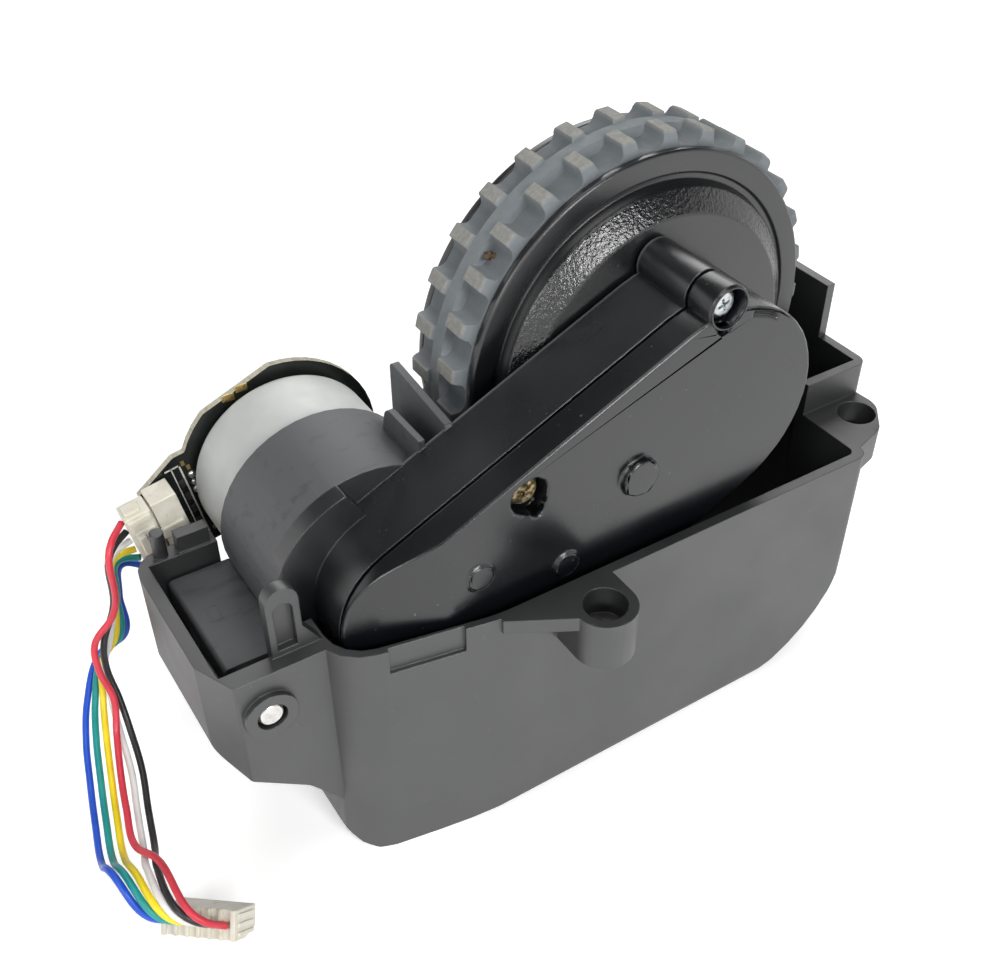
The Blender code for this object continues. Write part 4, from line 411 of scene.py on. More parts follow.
def wire_route(way, strays):
    """Route points of the wire at a way, counted in pitches from the middle of the band."""
    start = [tab_point(PLUG_REAR + out, -way * WAY_PITCH, PLUG_Y - way * aside)
             for out, aside in PLUG_LEADS]
    end = [end_frame() @ (Vector((way * WAY_PITCH, 0.0, 0.0)) + Vector(lead)) for lead in END_LEADS]
    middles = [Vector(middle) for middle, twist in BUNDLE]
    line = [Vector((start[-1].x, PLUG_Y, start[-1].z))] + middles + [end[0]]
    route = start
    for k, (middle, twist) in enumerate(BUNDLE):
        travel = (line[k + 2] - line[k]).normalized()
        side = travel.cross(Vector((0.0, 0.0, 1.0))).normalized()
        over = side.cross(travel)
        across = side * cos(radians(twist)) + over * sin(radians(twist))
        above = side * sin(radians(twist)) - over * cos(radians(twist))
        route.append(Vector(middle) + across * ((way + strays[k][0]) * BUNDLE_PITCH)
                     + above * (strays[k][1] * BUNDLE_PITCH))
    return route + end


def thread(name, route):
    """A round wire drawn through the route's points on one smooth curve."""
    core = bpy.data.curves.new(name + "_line", "CURVE")
    core.dimensions = "3D"
    core.bevel_depth = WIRE_RADIUS
    core.bevel_resolution = 6
    core.resolution_u = 10
    core.use_fill_caps = True
    run = core.splines.new("BEZIER")
    run.bezier_points.add(len(route) - 1)
    around = [2 * route[0] - route[1]] + list(route) + [2 * route[-1] - route[-2]]
    for knot, before, here, after in zip(run.bezier_points, around, around[1:], around[2:]):
        reach_in = (here - before).length
        reach_out = (after - here).length
        heading = ((here - before) * (reach_out / reach_in)
                   + (after - here) * (reach_in / reach_out)).normalized()
        knot.co = here
        knot.handle_left = here - heading * reach_in * HANDLE_SHARE
        knot.handle_right = here + heading * reach_out * HANDLE_SHARE
    wire = bpy.data.objects.new(name, core)
    bpy.context.scene.collection.objects.link(wire)
    return wire


for i, (name, colour, strays) in enumerate(WIRES):
    route = wire_route((len(WIRES) - 1) / 2 - i, strays)
    wire = thread("harness_" + name, route)
    pvc, bsdf = finish_of("pvc_" + name, colour, 0.36)
    pale = tuple(min(1.0, c * 1.22 + 0.015) for c in colour)
    tint = two_tone(pvc, spread(pvc, noise_on(pvc, 260.0), 0.0, 1.0), colour, pale)
    pvc.node_tree.links.new(tint, bsdf.inputs["Base Color"])
    rub = spread(pvc, noise_on(pvc, 900.0), 0.28, 0.48)
    pvc.node_tree.links.new(rub, bsdf.inputs["Roughness"])
    dimpled(pvc, bsdf, noise_on(pvc, 700.0, 2.0), 0.00003)
    wire.data.materials.append(pvc)
    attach(wire, "arm")
    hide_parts(name)

# Tub: one injection moulding in black plastic that holds the arm's pin and screws to the cleaner.
# Its outside has a fine spark-eroded grain, and the corners are rounded for the mould.
TUB_EDGE = 0.00040
CORNER_GLINT = 0.00025
MOULD_WAVE = 0.00004
DUST_TONE = (0.22, 0.22, 0.21)


def black_moulding(name, dark, light, rough_low, rough_high, grain, depth, dust=0.25, shine=1.2):
    """Black moulding compound: two close tones, uneven gloss, eroded grain and a little dust."""
    made, bsdf = finish_of(name, dark, (rough_low + rough_high) / 2)
    bsdf.inputs["Specular IOR Level"].default_value = shine
    tones = two_tone(made, spread(made, noise_on(made, 38.0, 5.0), 0.0, 1.0), dark, light)
    specks = spread(made, noise_on(made, 1300.0, 2.0), 0.0, dust, 0.735, 0.78)
    dusty = two_tone(made, specks, tones, DUST_TONE)
    made.node_tree.links.new(dusty, bsdf.inputs["Base Color"])
    patches = spread(made, noise_on(made, 70.0, 6.0), rough_low, rough_high)
    made.node_tree.links.new(patches, bsdf.inputs["Roughness"])
    corner = made.node_tree.nodes.new("ShaderNodeBevel")
    corner.inputs["Radius"].default_value = CORNER_GLINT
    waves = dimpled(made, bsdf, noise_on(made, 60.0, 2.0), MOULD_WAVE, corner.outputs[0])
    dimpled(made, bsdf, noise_on(made, grain, 2.0), depth, waves)
    return made, bsdf


tub_plastic, bsdf = black_moulding("tub_plastic", (0.0075, 0.0082, 0.0092), (0.0125, 0.0135, 0.0145),
                                   0.40, 0.52, 5200.0, 0.000016, shine=1.3)
tub = softened("moulded_tub", "housing", "housing", TUB_EDGE, clamp=True)
tub.data.materials.append(tub_plastic)

# Pivot pin: a ground steel pin pressed through the tub's two ears, with a chamfer at each end.
# Its near end stands in the boss and is polished by handling.
PIN_AXIS = (-0.0761, 0.0370)
PIN_RADIUS = 0.0020
PIN_NEAR_Y = -0.0190
PIN_FAR_Y = 0.0127


def turned(name, axis, profile, steps, closed=False, sharp=34.0):
    """A profile of (radius, y) turned about the Y line through the axis, each ring of even steps."""
    form = bmesh.new()
    rings = []
    for radius, y in profile:
        if radius <= 0.0:
            rings.append([form.verts.new((axis[0], y, axis[1]))])
            continue
        rings.append([form.verts.new((axis[0] + radius * cos(2 * pi * k / steps), y,
                                      axis[1] + radius * sin(2 * pi * k / steps)))
                      for k in range(steps)])
    pairs = list(zip(rings, rings[1:]))
    if closed:
        pairs.append((rings[-1], rings[0]))
    for one, two in pairs:
        for k in range(steps):
            after = (k + 1) % steps
            corners = []
            for dot in (one[k % len(one)], one[after % len(one)], two[after % len(two)],
                        two[k % len(two)]):
                if dot not in corners:
                    corners.append(dot)
            if len(corners) > 2:
                form.faces.new(corners)
    bmesh.ops.recalc_face_normals(form, faces=form.faces)
    return piece_of(name, form, sharp=sharp)


def eased(profile, reach, steps=4, closed=False):
    """The profile with each inner corner rounded over the given reach."""
    points = [Vector(point) for point in profile]
    count = len(points)
    line = []
    for k, here in enumerate(points):
        if not closed and k in (0, count - 1):
            line.append(tuple(here))
            continue
        before = points[k - 1] - here
        after = points[(k + 1) % count] - here
        grip = min(reach, before.length * 0.45, after.length * 0.45)
        if grip < 0.00002:
            line.append(tuple(here))
            continue
        first = here + before.normalized() * grip
        last = here + after.normalized() * grip
        for i in range(steps + 1):
            t = i / steps
            line.append(tuple(first * (1 - t) ** 2 + here * (2 * t * (1 - t)) + last * t ** 2))
    return line


pin = turned("pivot_pin_ground", PIN_AXIS, eased([
    (0.0, PIN_FAR_Y), (PIN_RADIUS - 0.0004, PIN_FAR_Y), (PIN_RADIUS, PIN_FAR_Y - 0.0004),
    (PIN_RADIUS, PIN_NEAR_Y + 0.0004), (PIN_RADIUS - 0.0004, PIN_NEAR_Y), (0.0, PIN_NEAR_Y)],
    0.00008, 2), 64, sharp=60.0)


def mottled(name, colour, roughness, metallic, tones, tone_grain, bump_grain, bump,
            gloss=None, gloss_grain=None, tone_cut=(0.3, 0.7)):
    """A finish of two close tones with a fine bump, and an uneven gloss where a range is given."""
    made, bsdf = finish_of(name, colour, roughness, metallic)
    cloud = spread(made, noise_on(made, *tone_grain), 0.0, 1.0, *tone_cut)
    made.node_tree.links.new(two_tone(made, cloud, *tones), bsdf.inputs["Base Color"])
    if gloss is not None:
        made.node_tree.links.new(spread(made, noise_on(made, *gloss_grain), *gloss),
                                 bsdf.inputs["Roughness"])
    dimpled(made, bsdf, noise_on(made, *bump_grain), bump)
    return made


pin_steel = mottled("ground_steel", (0.78, 0.77, 0.75), 0.24, 1.0,
                    ((0.80, 0.79, 0.77), (0.60, 0.58, 0.55)), (800.0, 5.0), (3000.0, 3.0), 0.000008,
                    gloss=(0.16, 0.38), gloss_grain=(1500.0, 4.0))
pin.data.materials.append(pin_steel)
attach(pin, "housing")
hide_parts("pivot_pin")

# Arm: the gearbox's rear shell, moulded in one piece with the motor's sleeve, the hinge lug,
# the spring lever, the splash fin and the rib. The sleeve and the lug have a coarser, matt grain.
SHELL_EDGE = 0.00030
SLEEVE_START_Y = -0.0066
LUG_END_X = -0.0685
SHELL_DARK = (0.0032, 0.0040, 0.0052)
SHELL_LIGHT = (0.0060, 0.0070, 0.0085)
MATT_TONE = (0.050, 0.053, 0.058)
MATT_ROUGHNESS = 0.60


def beyond(made, axis, edge, width, upward=True):
    """1 past the edge along an axis of the piece's own space, 0 before it."""
    tree = made.node_tree
    where = tree.nodes.new("ShaderNodeTexCoord")
    split = tree.nodes.new("ShaderNodeSeparateXYZ")
    tree.links.new(where.outputs["Object"], split.inputs[0])
    low, high = (edge - width, edge + width) if upward else (edge + width, edge - width)
    return spread(made, split.outputs[axis], 0.0, 1.0, low, high)


def joined(made, first, second, operation="MAXIMUM"):
    """Two values put together."""
    step = made.node_tree.nodes.new("ShaderNodeMath")
    step.operation = operation
    for socket, value in enumerate((first, second)):
        if isinstance(value, float):
            step.inputs[socket].default_value = value
        else:
            made.node_tree.links.new(value, step.inputs[socket])
    return step.outputs[0]


shell_plastic, bsdf = black_moulding("arm_plastic", SHELL_DARK, SHELL_LIGHT, 0.24, 0.34, 3600.0, 0.000010)
matt = joined(shell_plastic, beyond(shell_plastic, "Y", SLEEVE_START_Y, 0.00015),
              beyond(shell_plastic, "X", LUG_END_X, 0.00030, False))
gloss_tone = bsdf.inputs["Base Color"].links[0].from_socket
gloss_rough = bsdf.inputs["Roughness"].links[0].from_socket
scuffs = spread(shell_plastic, noise_on(shell_plastic, 420.0, 6.0, (0.35, 1.0, 1.6)),
                0.0, 1.0, 0.56, 0.68)
matt_tone = two_tone(shell_plastic, scuffs, MATT_TONE, (0.030, 0.030, 0.033))
shell_plastic.node_tree.links.new(two_tone(shell_plastic, matt, gloss_tone, matt_tone),
                                  bsdf.inputs["Base Color"])
rougher = shell_plastic.node_tree.nodes.new("ShaderNodeMix")
rougher.data_type = "FLOAT"
rougher.inputs["B"].default_value = MATT_ROUGHNESS
shell_plastic.node_tree.links.new(gloss_rough, rougher.inputs["A"])
shell_plastic.node_tree.links.new(matt, rougher.inputs["Factor"])
shell_plastic.node_tree.links.new(rougher.outputs["Result"], bsdf.inputs["Roughness"])
shell = softened("gearbox_rear_shell", "gearbox_base", "arm", SHELL_EDGE, clamp=True)
shell.data.materials.append(shell_plastic)

# Gearbox cover: a thin moulded lid over the gear train, with a rounded rim and four screw seats.
# Its face is smoother than the tub and has picked up dust and hair scratches.
COVER_EDGE = 0.00045
COVER_FACE_Y = -0.0230
TOP_SCREW = (-0.0031, 0.0808)
SEAT_RADIUS = 0.0030

cover_plastic, bsdf = black_moulding("cover_plastic", (0.0024, 0.0032, 0.0045), (0.0050, 0.0060, 0.0075),
                                     0.20, 0.30, 3200.0, 0.000008, 0.4, 0.8)
cover_tone = bsdf.inputs["Base Color"].links[0].from_socket
hairlines = spread(cover_plastic, noise_on(cover_plastic, 260.0, 7.0, (0.25, 1.0, 2.6)),
                   0.0, 0.04, 0.66, 0.72)
cover_plastic.node_tree.links.new(two_tone(cover_plastic, hairlines, cover_tone, (0.16, 0.16, 0.16)),
                                  bsdf.inputs["Base Color"])
cover = softened("gearbox_lid", "gearbox_cover", "arm", COVER_EDGE, 4)
cover.data.materials.append(cover_plastic)
seat_ring = turned("lid_seat_ring", TOP_SCREW, eased([
    (SEAT_RADIUS + 0.00005, COVER_FACE_Y + 0.0006), (SEAT_RADIUS + 0.00005, COVER_FACE_Y - 0.00012),
    (SEAT_RADIUS + 0.00035, COVER_FACE_Y - 0.00012), (SEAT_RADIUS + 0.00050, COVER_FACE_Y + 0.0006)],
    0.00010, 4), 72)
seat_ring.data.materials.append(cover_plastic)
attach(seat_ring, "arm")

# Cover screws: pan-head self-tapping screws with a cross recess, driven down into the cover's seats.
# Three are bright zinc, and the middle one has gone brown with dirt.
HEAD_RADIUS = 0.0023
HEAD_HEIGHT = 0.0014
HEAD_SEAT_Y = -0.0203
SHANK_RADIUS = 0.0011
SCREW_LENGTH = 0.0105
THREAD_PITCH = 0.0009
COVER_SCREWS = (
    ("cover_screw_top", (-0.0031, 0.0808), 20.0, "zinc_steel"),
    ("cover_screw_middle", (-0.0362, 0.0614), 52.0, "brass"),
    ("cover_screw_tail", (-0.0440, 0.0365), 5.0, "zinc_steel"),
    ("cover_screw_low", (-0.0150, 0.0385), 33.0, "zinc_steel"),
)


def carved(piece, tools):
    """The piece with the tool objects cut out of it for good."""
    for tool in tools:
        step = piece.modifiers.new("carve", "BOOLEAN")
        step.operation = "DIFFERENCE"
        step.solver = "EXACT"
        step.object = tool
    bpy.context.view_layer.update()
    graph = bpy.context.evaluated_depsgraph_get()
    whole = bpy.data.meshes.new_from_object(piece.evaluated_get(graph))
    piece.modifiers.clear()
    piece.data = whole
    for tool in tools:
        bpy.data.objects.remove(tool, do_unlink=True)
    whole.shade_smooth()
    whole.set_sharp_from_angle(angle=radians(34.0))
    return piece


def cross_bit(axis, face_y, depth, reach, width, turn):
    """The driver's cross as tools: two tapered wings from outside the face to the given depth."""
    tools = []
    for wing in (turn, turn + pi / 2):
        form = bmesh.new()
        corners = []
        for y, share in ((face_y - depth * 0.7, 1.15), (face_y + depth, 0.42)):
            for a, b in ((-1, -1), (1, -1), (1, 1), (-1, 1)):
                along, aside = a * reach * share, b * width * (0.5 + 0.5 * share)
                corners.append((axis[0] + along * cos(wing) - aside * sin(wing), y,
                                axis[1] + along * sin(wing) + aside * cos(wing)))
        block(form, corners)
        bmesh.ops.recalc_face_normals(form, faces=form.faces)
        tools.append(piece_of("cross_bit", form))
    return tools


zinc = mottled("zinc_plate", (0.66, 0.69, 0.69), 0.32, 1.0,
               ((0.72, 0.75, 0.75), (0.46, 0.50, 0.51)), (1600.0, 5.0), (3800.0, 3.0), 0.000014,
               gloss=(0.22, 0.48), gloss_grain=(2200.0, 4.0))
dirty, bsdf = finish_of("dirty_brass", (0.33, 0.25, 0.13), 0.5, 0.75)
dirt = spread(dirty, noise_on(dirty, 1500.0, 6.0), 0.0, 1.0, 0.38, 0.60)
dirty.node_tree.links.new(two_tone(dirty, dirt, (0.42, 0.33, 0.17), (0.045, 0.034, 0.020)),
                          bsdf.inputs["Base Color"])
dirty.node_tree.links.new(spread(dirty, dirt, 0.34, 0.85, 0.0, 1.0), bsdf.inputs["Roughness"])
dimpled(dirty, bsdf, noise_on(dirty, 2400.0, 5.0), 0.00006)
screw_finish = {"zinc_steel": zinc, "brass": dirty}

for name, axis, turn, slot_name in COVER_SCREWS:
    line = [(0.0, HEAD_SEAT_Y + SCREW_LENGTH), (SHANK_RADIUS * 0.6, HEAD_SEAT_Y + SCREW_LENGTH),
            (SHANK_RADIUS * 0.85, HEAD_SEAT_Y + SCREW_LENGTH - 0.0008)]
    threads = int((SCREW_LENGTH - 0.0024) / THREAD_PITCH)
    for k in range(threads):
        y = HEAD_SEAT_Y + SCREW_LENGTH - 0.0012 - k * THREAD_PITCH
        line += [(SHANK_RADIUS * 0.80, y), (SHANK_RADIUS, y - THREAD_PITCH * 0.35),
                 (SHANK_RADIUS, y - THREAD_PITCH * 0.50)]
    face_y = HEAD_SEAT_Y - HEAD_HEIGHT
    line += [(SHANK_RADIUS, HEAD_SEAT_Y)]
    head = eased([(SHANK_RADIUS, HEAD_SEAT_Y), (HEAD_RADIUS, HEAD_SEAT_Y),
                  (HEAD_RADIUS, face_y + HEAD_HEIGHT * 0.42),
                  (HEAD_RADIUS * 0.78, face_y + 0.00006), (0.0, face_y)], 0.00045, 5)
    screw = turned(name + "_turned", axis, line + head[1:], 40)
    screw = carved(screw, cross_bit(axis, face_y, 0.00085, 0.00125, 0.00026, radians(turn)))
    screw.data.materials.append(screw_finish[slot_name])
    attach(screw, "arm")
    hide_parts(name)

# Motor: a brushed DC motor in a deep-drawn can of zinc-plated steel, held in the arm's sleeve.
# Its rolled rear edge and the two tinned terminals stand out behind the sleeve.
CAN_RADIUS = 0.0155
CAN_FRONT_Y = -0.0056
CAN_REAR_Y = 0.0232
CAN_BOSS_RADIUS = 0.0030
CAN_BOSS_Y = -0.0078
CAP_RADIUS = 0.0128
CAP_THICKNESS = 0.0010
SHAFT_HOLE = 0.0013

can = turned("motor_drawn_can", MOTOR_AXIS, eased([
    (SHAFT_HOLE, CAN_BOSS_Y), (CAN_BOSS_RADIUS, CAN_BOSS_Y), (CAN_BOSS_RADIUS, CAN_FRONT_Y),
    (CAN_RADIUS, CAN_FRONT_Y), (CAN_RADIUS, CAN_REAR_Y), (CAP_RADIUS + 0.0003, CAN_REAR_Y),
    (CAP_RADIUS + 0.0003, CAN_REAR_Y - CAP_THICKNESS - 0.0003), (SHAFT_HOLE, CAN_REAR_Y - 0.0013)],
    0.0011, 8), 168, closed=True)
can_steel, bsdf = finish_of("can_zinc", (0.62, 0.63, 0.61), 0.55, 0.30)
can_steel.node_tree.links.new(
    two_tone(can_steel, spread(can_steel, noise_on(can_steel, 130.0, 6.0), 0.0, 1.0),
             (0.62, 0.63, 0.61), (0.52, 0.54, 0.53)), bsdf.inputs["Base Color"])
can_steel.node_tree.links.new(spread(can_steel, noise_on(can_steel, 500.0, 5.0), 0.48, 0.62),
                              bsdf.inputs["Roughness"])
drawn = dimpled(can_steel, bsdf, noise_on(can_steel, 900.0, 3.0, (1.0, 0.12, 1.0)), 0.000018)
dimpled(can_steel, bsdf, noise_on(can_steel, 6500.0, 2.0), 0.000010, drawn)
can.data.materials.append(can_steel)
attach(can, "arm")
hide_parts("motor_can")

moulded = mottled("moulded_black", (0.013, 0.013, 0.014), 0.5, 0.0,
                  ((0.011, 0.011, 0.012), (0.022, 0.022, 0.023)), (320.0, 5.0), (3000.0, 2.0), 0.000015,
                  gloss=(0.40, 0.62), gloss_grain=(700.0, 4.0))
tinned = mottled("tinned_brass", (0.62, 0.53, 0.33), 0.36, 1.0,
                 ((0.70, 0.56, 0.28), (0.66, 0.64, 0.58)), (900.0, 5.0), (2600.0, 3.0), 0.00002,
                 gloss=(0.24, 0.50), gloss_grain=(1500.0, 4.0), tone_cut=(0.42, 0.58))


def dress(finish, *nodes):
    """Each of the carried-over solids in the finish."""
    for node in nodes:
        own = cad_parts[node].data
        own.materials.clear()
        own.materials.append(finish)


dress(moulded, "motor_end_cap")
dress(tinned, "motor_terminal_left", "motor_terminal_right")
dress(zinc, "motor_screw_low", "motor_screw_high")

# Encoder board: a round black circuit board behind the motor, with a tab for the harness header.
# Its cut edge shows the pale glass cloth. Two Hall sensors face the magnet on the motor's shaft.
BOARD_NEAR_Y = 0.0242
BOARD_EDGE_TONE = (0.56, 0.53, 0.43)
LINE_WIDTH = 0.00028
FILM = 0.00006

board_paint, bsdf = finish_of("board_lacquer", (0.008, 0.010, 0.009), 0.30)
facing = board_paint.node_tree.nodes.new("ShaderNodeTexCoord")
turned_to = board_paint.node_tree.nodes.new("ShaderNodeSeparateXYZ")
board_paint.node_tree.links.new(facing.outputs["Normal"], turned_to.inputs[0])
across_edge = joined(board_paint, turned_to.outputs["Y"], 0.0, "ABSOLUTE")
on_edge = spread(board_paint, across_edge, 1.0, 0.0, 0.45, 0.60)
lacquer = two_tone(board_paint, spread(board_paint, noise_on(board_paint, 300.0, 4.0), 0.0, 1.0),
                   (0.007, 0.009, 0.008), (0.013, 0.016, 0.014))
weave = spread(board_paint, noise_on(board_paint, 2500.0, 3.0, (1.0, 0.2, 1.0)), 0.0, 1.0)
cloth = two_tone(board_paint, weave, BOARD_EDGE_TONE, (0.34, 0.31, 0.23))
board_paint.node_tree.links.new(two_tone(board_paint, on_edge, lacquer, cloth), bsdf.inputs["Base Color"])
board_paint.node_tree.links.new(spread(board_paint, on_edge, 0.26, 0.75, 0.0, 1.0),
                                bsdf.inputs["Roughness"])
dimpled(board_paint, bsdf, noise_on(board_paint, 1800.0, 3.0), 0.000012)
board = softened("encoder_circuit_board", "encoder_board", "arm", 0.00010, 2)
board.data.materials.append(board_paint)

ink = mottled("board_ink", (0.62, 0.62, 0.58), 0.6, 0.0,
              ((0.66, 0.66, 0.62), (0.44, 0.44, 0.41)), (3000.0, 3.0), (5000.0, 2.0), 0.00001)
printed = bmesh.new()
print_y = (BOARD_NEAR_Y - FILM, BOARD_NEAR_Y + 0.00002)
for along, across in (((0.0158, 0.0158 + LINE_WIDTH), (-0.0078, 0.0078)),
                      ((0.0158, 0.0184), (-0.0078, -0.0078 + LINE_WIDTH)),
                      ((0.0158, 0.0184), (0.0078 - LINE_WIDTH, 0.0078)),
                      ((0.0172, 0.0172 + LINE_WIDTH * 0.7), (-0.0078, 0.0078))):
    tab_block(printed, along, across, print_y)
legend = piece_of("board_outline_print", printed)
legend.data.materials.append(ink)
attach(legend, "arm")

plated = mottled("gold_pads", (0.78, 0.60, 0.24), 0.30, 1.0,
                 ((0.82, 0.64, 0.26), (0.60, 0.44, 0.17)), (2200.0, 4.0), (4000.0, 2.0), 0.00001,
                 gloss=(0.22, 0.42), gloss_grain=(1800.0, 3.0))
pads = bmesh.new()
for along, across in ((0.0150, -0.0082), (0.0144, -0.0070), (0.0141, 0.0052), (0.0146, 0.0066)):
    tab_block(pads, (along, along + 0.0006), (across, across + 0.0009), print_y)
for turn in range(2):
    angle = radians(109.0 + turn * 9.0)
    spot = (MOTOR_AXIS[0] + 0.0158 * cos(angle), MOTOR_AXIS[1] + 0.0158 * sin(angle))
    block(pads, [(spot[0] + a * 0.0010, y, spot[1] + b * 0.0006)
                 for y in print_y for a, b in ((-1, -1), (1, -1), (1, 1), (-1, 1))])
gold = piece_of("board_pads", pads)
gold.data.materials.append(plated)
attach(gold, "arm")

solder = mottled("solder", (0.70, 0.70, 0.68), 0.28, 1.0,
                 ((0.76, 0.76, 0.74), (0.52, 0.52, 0.50)), (1800.0, 4.0), (2600.0, 3.0), 0.00003)
SOLDER_DROPS = (
    (0.0146, -0.0050, 0.0007), (0.0147, -0.0034, 0.0006), (0.0148, -0.0019, 0.0007),
    (0.0148, -0.0003, 0.0005), (0.0147, 0.0016, 0.0006), (0.0146, 0.0034, 0.0005),
)
beads = bmesh.new()
for along, across, size in SOLDER_DROPS:
    spot = tab_point(along, across, BOARD_NEAR_Y)
    made = bmesh.ops.create_uvsphere(beads, u_segments=20, v_segments=10, radius=size)
    for dot in made["verts"]:
        dot.co.y *= 0.7
        dot.co += spot + Vector((0.0, 0.0, noise.noise(dot.co * 2400.0) * 0.00012))
drops = piece_of("board_solder", beads)
drops.data.materials.append(solder)
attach(drops, "arm")

chips = bmesh.new()
for across in (-0.0050, -0.0022, 0.0006, 0.0034):
    tab_block(chips, (0.0162, 0.0170), (across, across + 0.0013),
              (BOARD_NEAR_Y - 0.0005, BOARD_NEAR_Y + 0.0001))
parts_row = piece_of("board_small_parts", chips, 0.00008, 2)
parts_row.data.materials.append(moulded)
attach(parts_row, "arm")

magnet_grey = mottled("sintered_ferrite", (0.030, 0.030, 0.032), 0.62, 0.0,
                      ((0.024, 0.024, 0.026), (0.055, 0.055, 0.058)), (1200.0, 5.0),
                      (2600.0, 3.0), 0.00002, gloss=(0.50, 0.72), gloss_grain=(600.0, 4.0))
dress(magnet_grey, "encoder_magnet")
dress(moulded, "hall_sensor_a", "hall_sensor_b")

# Wheel body: a glossy black moulding with a flange each side of the tyre and a coned face.
# The cone is spark eroded more coarsely than the rest, so that it glitters where it is lit.
WHEEL_AXIS = (0.0, 0.0620)
WHEEL_RADIUS = 0.0350
TYRE_WIDTH = 0.0128
TYRE_BORE = 0.0306
FLANGE_RADIUS = 0.0326
FLANGE_FACE_Y = -0.0015
DISC_Y = -0.0055
HUB_BORE = 0.0033
HUB_BOSS_RADIUS = 0.0060
HUB_STEPS = 192
CONE_REACH = (0.0242, 0.0272)
CONE_ROUGHNESS = 0.20

seat = TYRE_BORE - SEAT_GAP
inner = seat - 0.0020
hub_back = TYRE_WIDTH + 0.0015
hub = turned("wheel_moulding", WHEEL_AXIS, eased([
    (inner, hub_back), (FLANGE_RADIUS, hub_back), (FLANGE_RADIUS, TYRE_WIDTH + SEAT_GAP),
    (seat, TYRE_WIDTH + SEAT_GAP), (seat, -SEAT_GAP), (FLANGE_RADIUS, -SEAT_GAP),
    (FLANGE_RADIUS, FLANGE_FACE_Y + 0.0003), (FLANGE_RADIUS - 0.0003, FLANGE_FACE_Y),
    (0.0291, FLANGE_FACE_Y), (0.0288, FLANGE_FACE_Y + 0.0006), (0.0279, FLANGE_FACE_Y + 0.0006),
    (0.02735, FLANGE_FACE_Y - 0.0013), (0.0240, DISC_Y), (HUB_BORE, DISC_Y),
    (HUB_BORE, DISC_Y + 0.0146), (HUB_BOSS_RADIUS, DISC_Y + 0.0146), (HUB_BOSS_RADIUS, DISC_Y + 0.0020),
    (0.0230, DISC_Y + 0.0020), (inner - 0.0014, FLANGE_FACE_Y + 0.0020),
    (inner, FLANGE_FACE_Y + 0.0036)], 0.00016, 3, closed=True), HUB_STEPS, closed=True)


def from_axis(made, axis):
    """Distance from the wheel's axis, in metres, in the piece's own space."""
    tree = made.node_tree
    where = tree.nodes.new("ShaderNodeTexCoord")
    shift = tree.nodes.new("ShaderNodeVectorMath")
    shift.operation = "SUBTRACT"
    shift.inputs[1].default_value = (axis[0], 0.0, axis[1])
    tree.links.new(where.outputs["Object"], shift.inputs[0])
    flat = tree.nodes.new("ShaderNodeVectorMath")
    flat.operation = "MULTIPLY"
    flat.inputs[1].default_value = (1.0, 0.0, 1.0)
    tree.links.new(shift.outputs[0], flat.inputs[0])
    size = tree.nodes.new("ShaderNodeVectorMath")
    size.operation = "LENGTH"
    tree.links.new(flat.outputs[0], size.inputs[0])
    return size.outputs["Value"]


hub_plastic, bsdf = black_moulding("wheel_plastic", (0.0030, 0.0036, 0.0046), (0.0055, 0.0062, 0.0075),
                                   0.26, 0.36, 3000.0, 0.000010, 0.3, 0.9)
radius = from_axis(hub_plastic, WHEEL_AXIS)
past_disc = spread(hub_plastic, radius, 0.0, 1.0, CONE_REACH[0] - 0.0002, CONE_REACH[0] + 0.0001)
inside_rim = spread(hub_plastic, radius, 1.0, 0.0, CONE_REACH[1], CONE_REACH[1] + 0.0003)
on_cone = joined(hub_plastic, past_disc, inside_rim, "MULTIPLY")
coarse = joined(hub_plastic, noise_on(hub_plastic, 1750.0, 3.0), on_cone, "MULTIPLY")
fine_grain = bsdf.inputs["Normal"].links[0].from_socket
dimpled(hub_plastic, bsdf, coarse, 0.00016, fine_grain)
smoother = hub_plastic.node_tree.nodes.new("ShaderNodeMix")
smoother.data_type = "FLOAT"
smoother.inputs["B"].default_value = CONE_ROUGHNESS
hub_plastic.node_tree.links.new(bsdf.inputs["Roughness"].links[0].from_socket, smoother.inputs["A"])
hub_plastic.node_tree.links.new(on_cone, smoother.inputs["Factor"])
hub_plastic.node_tree.links.new(smoother.outputs["Result"], bsdf.inputs["Roughness"])
hub.data.materials.append(hub_plastic)
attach(hub, "wheel")
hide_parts("wheel_hub")

# Tyre: grey rubber moulded with two rows of lugs, half a pitch apart, beside a lower middle band.
# The lug tops are worn and dusty, and the deep hollows are painted darker as shade. A crumb of dirt sits
# in one hollow, as on any used wheel.
LUG_COUNT = 29
LUG_PITCH = 2 * pi * WHEEL_RADIUS / LUG_COUNT
HOLLOW_HALF = 0.00249
HOLLOW_DEPTH = 0.0023
HOLLOW_FLAT = 0.00105
HOLLOW_ROUND = 0.00145
BRINK = HOLLOW_HALF - 0.00004
BRINK_EASE = 0.00036
ROW_END = 0.0050
BAND_DROP = 0.00070
BAND_EASE = 0.00024
SHOULDER_DROP = 0.0024
SHOULDER_WIDTH = 0.0008
NEAR_ROW_TURN = radians(103.293)
HALF_PITCH_TURN = pi / LUG_COUNT
PITCH_STATIONS = (0.0, 0.00045, 0.00080, 0.00105, 0.00118, 0.00128, 0.00134, 0.00142, 0.00155, 0.00180,
                  0.00205, 0.00225, 0.00238, 0.00246, 0.00253, 0.00262, 0.00275, 0.00300, 0.00340)
WIDTH_STATIONS = (0.0, 0.00006, 0.00016, 0.00030, 0.00050, 0.00075, 0.00110, 0.00180, 0.00280, 0.00380,
                  0.00440, 0.00470, 0.00484, 0.00494, 0.00503, 0.00513, 0.00530, 0.00580)


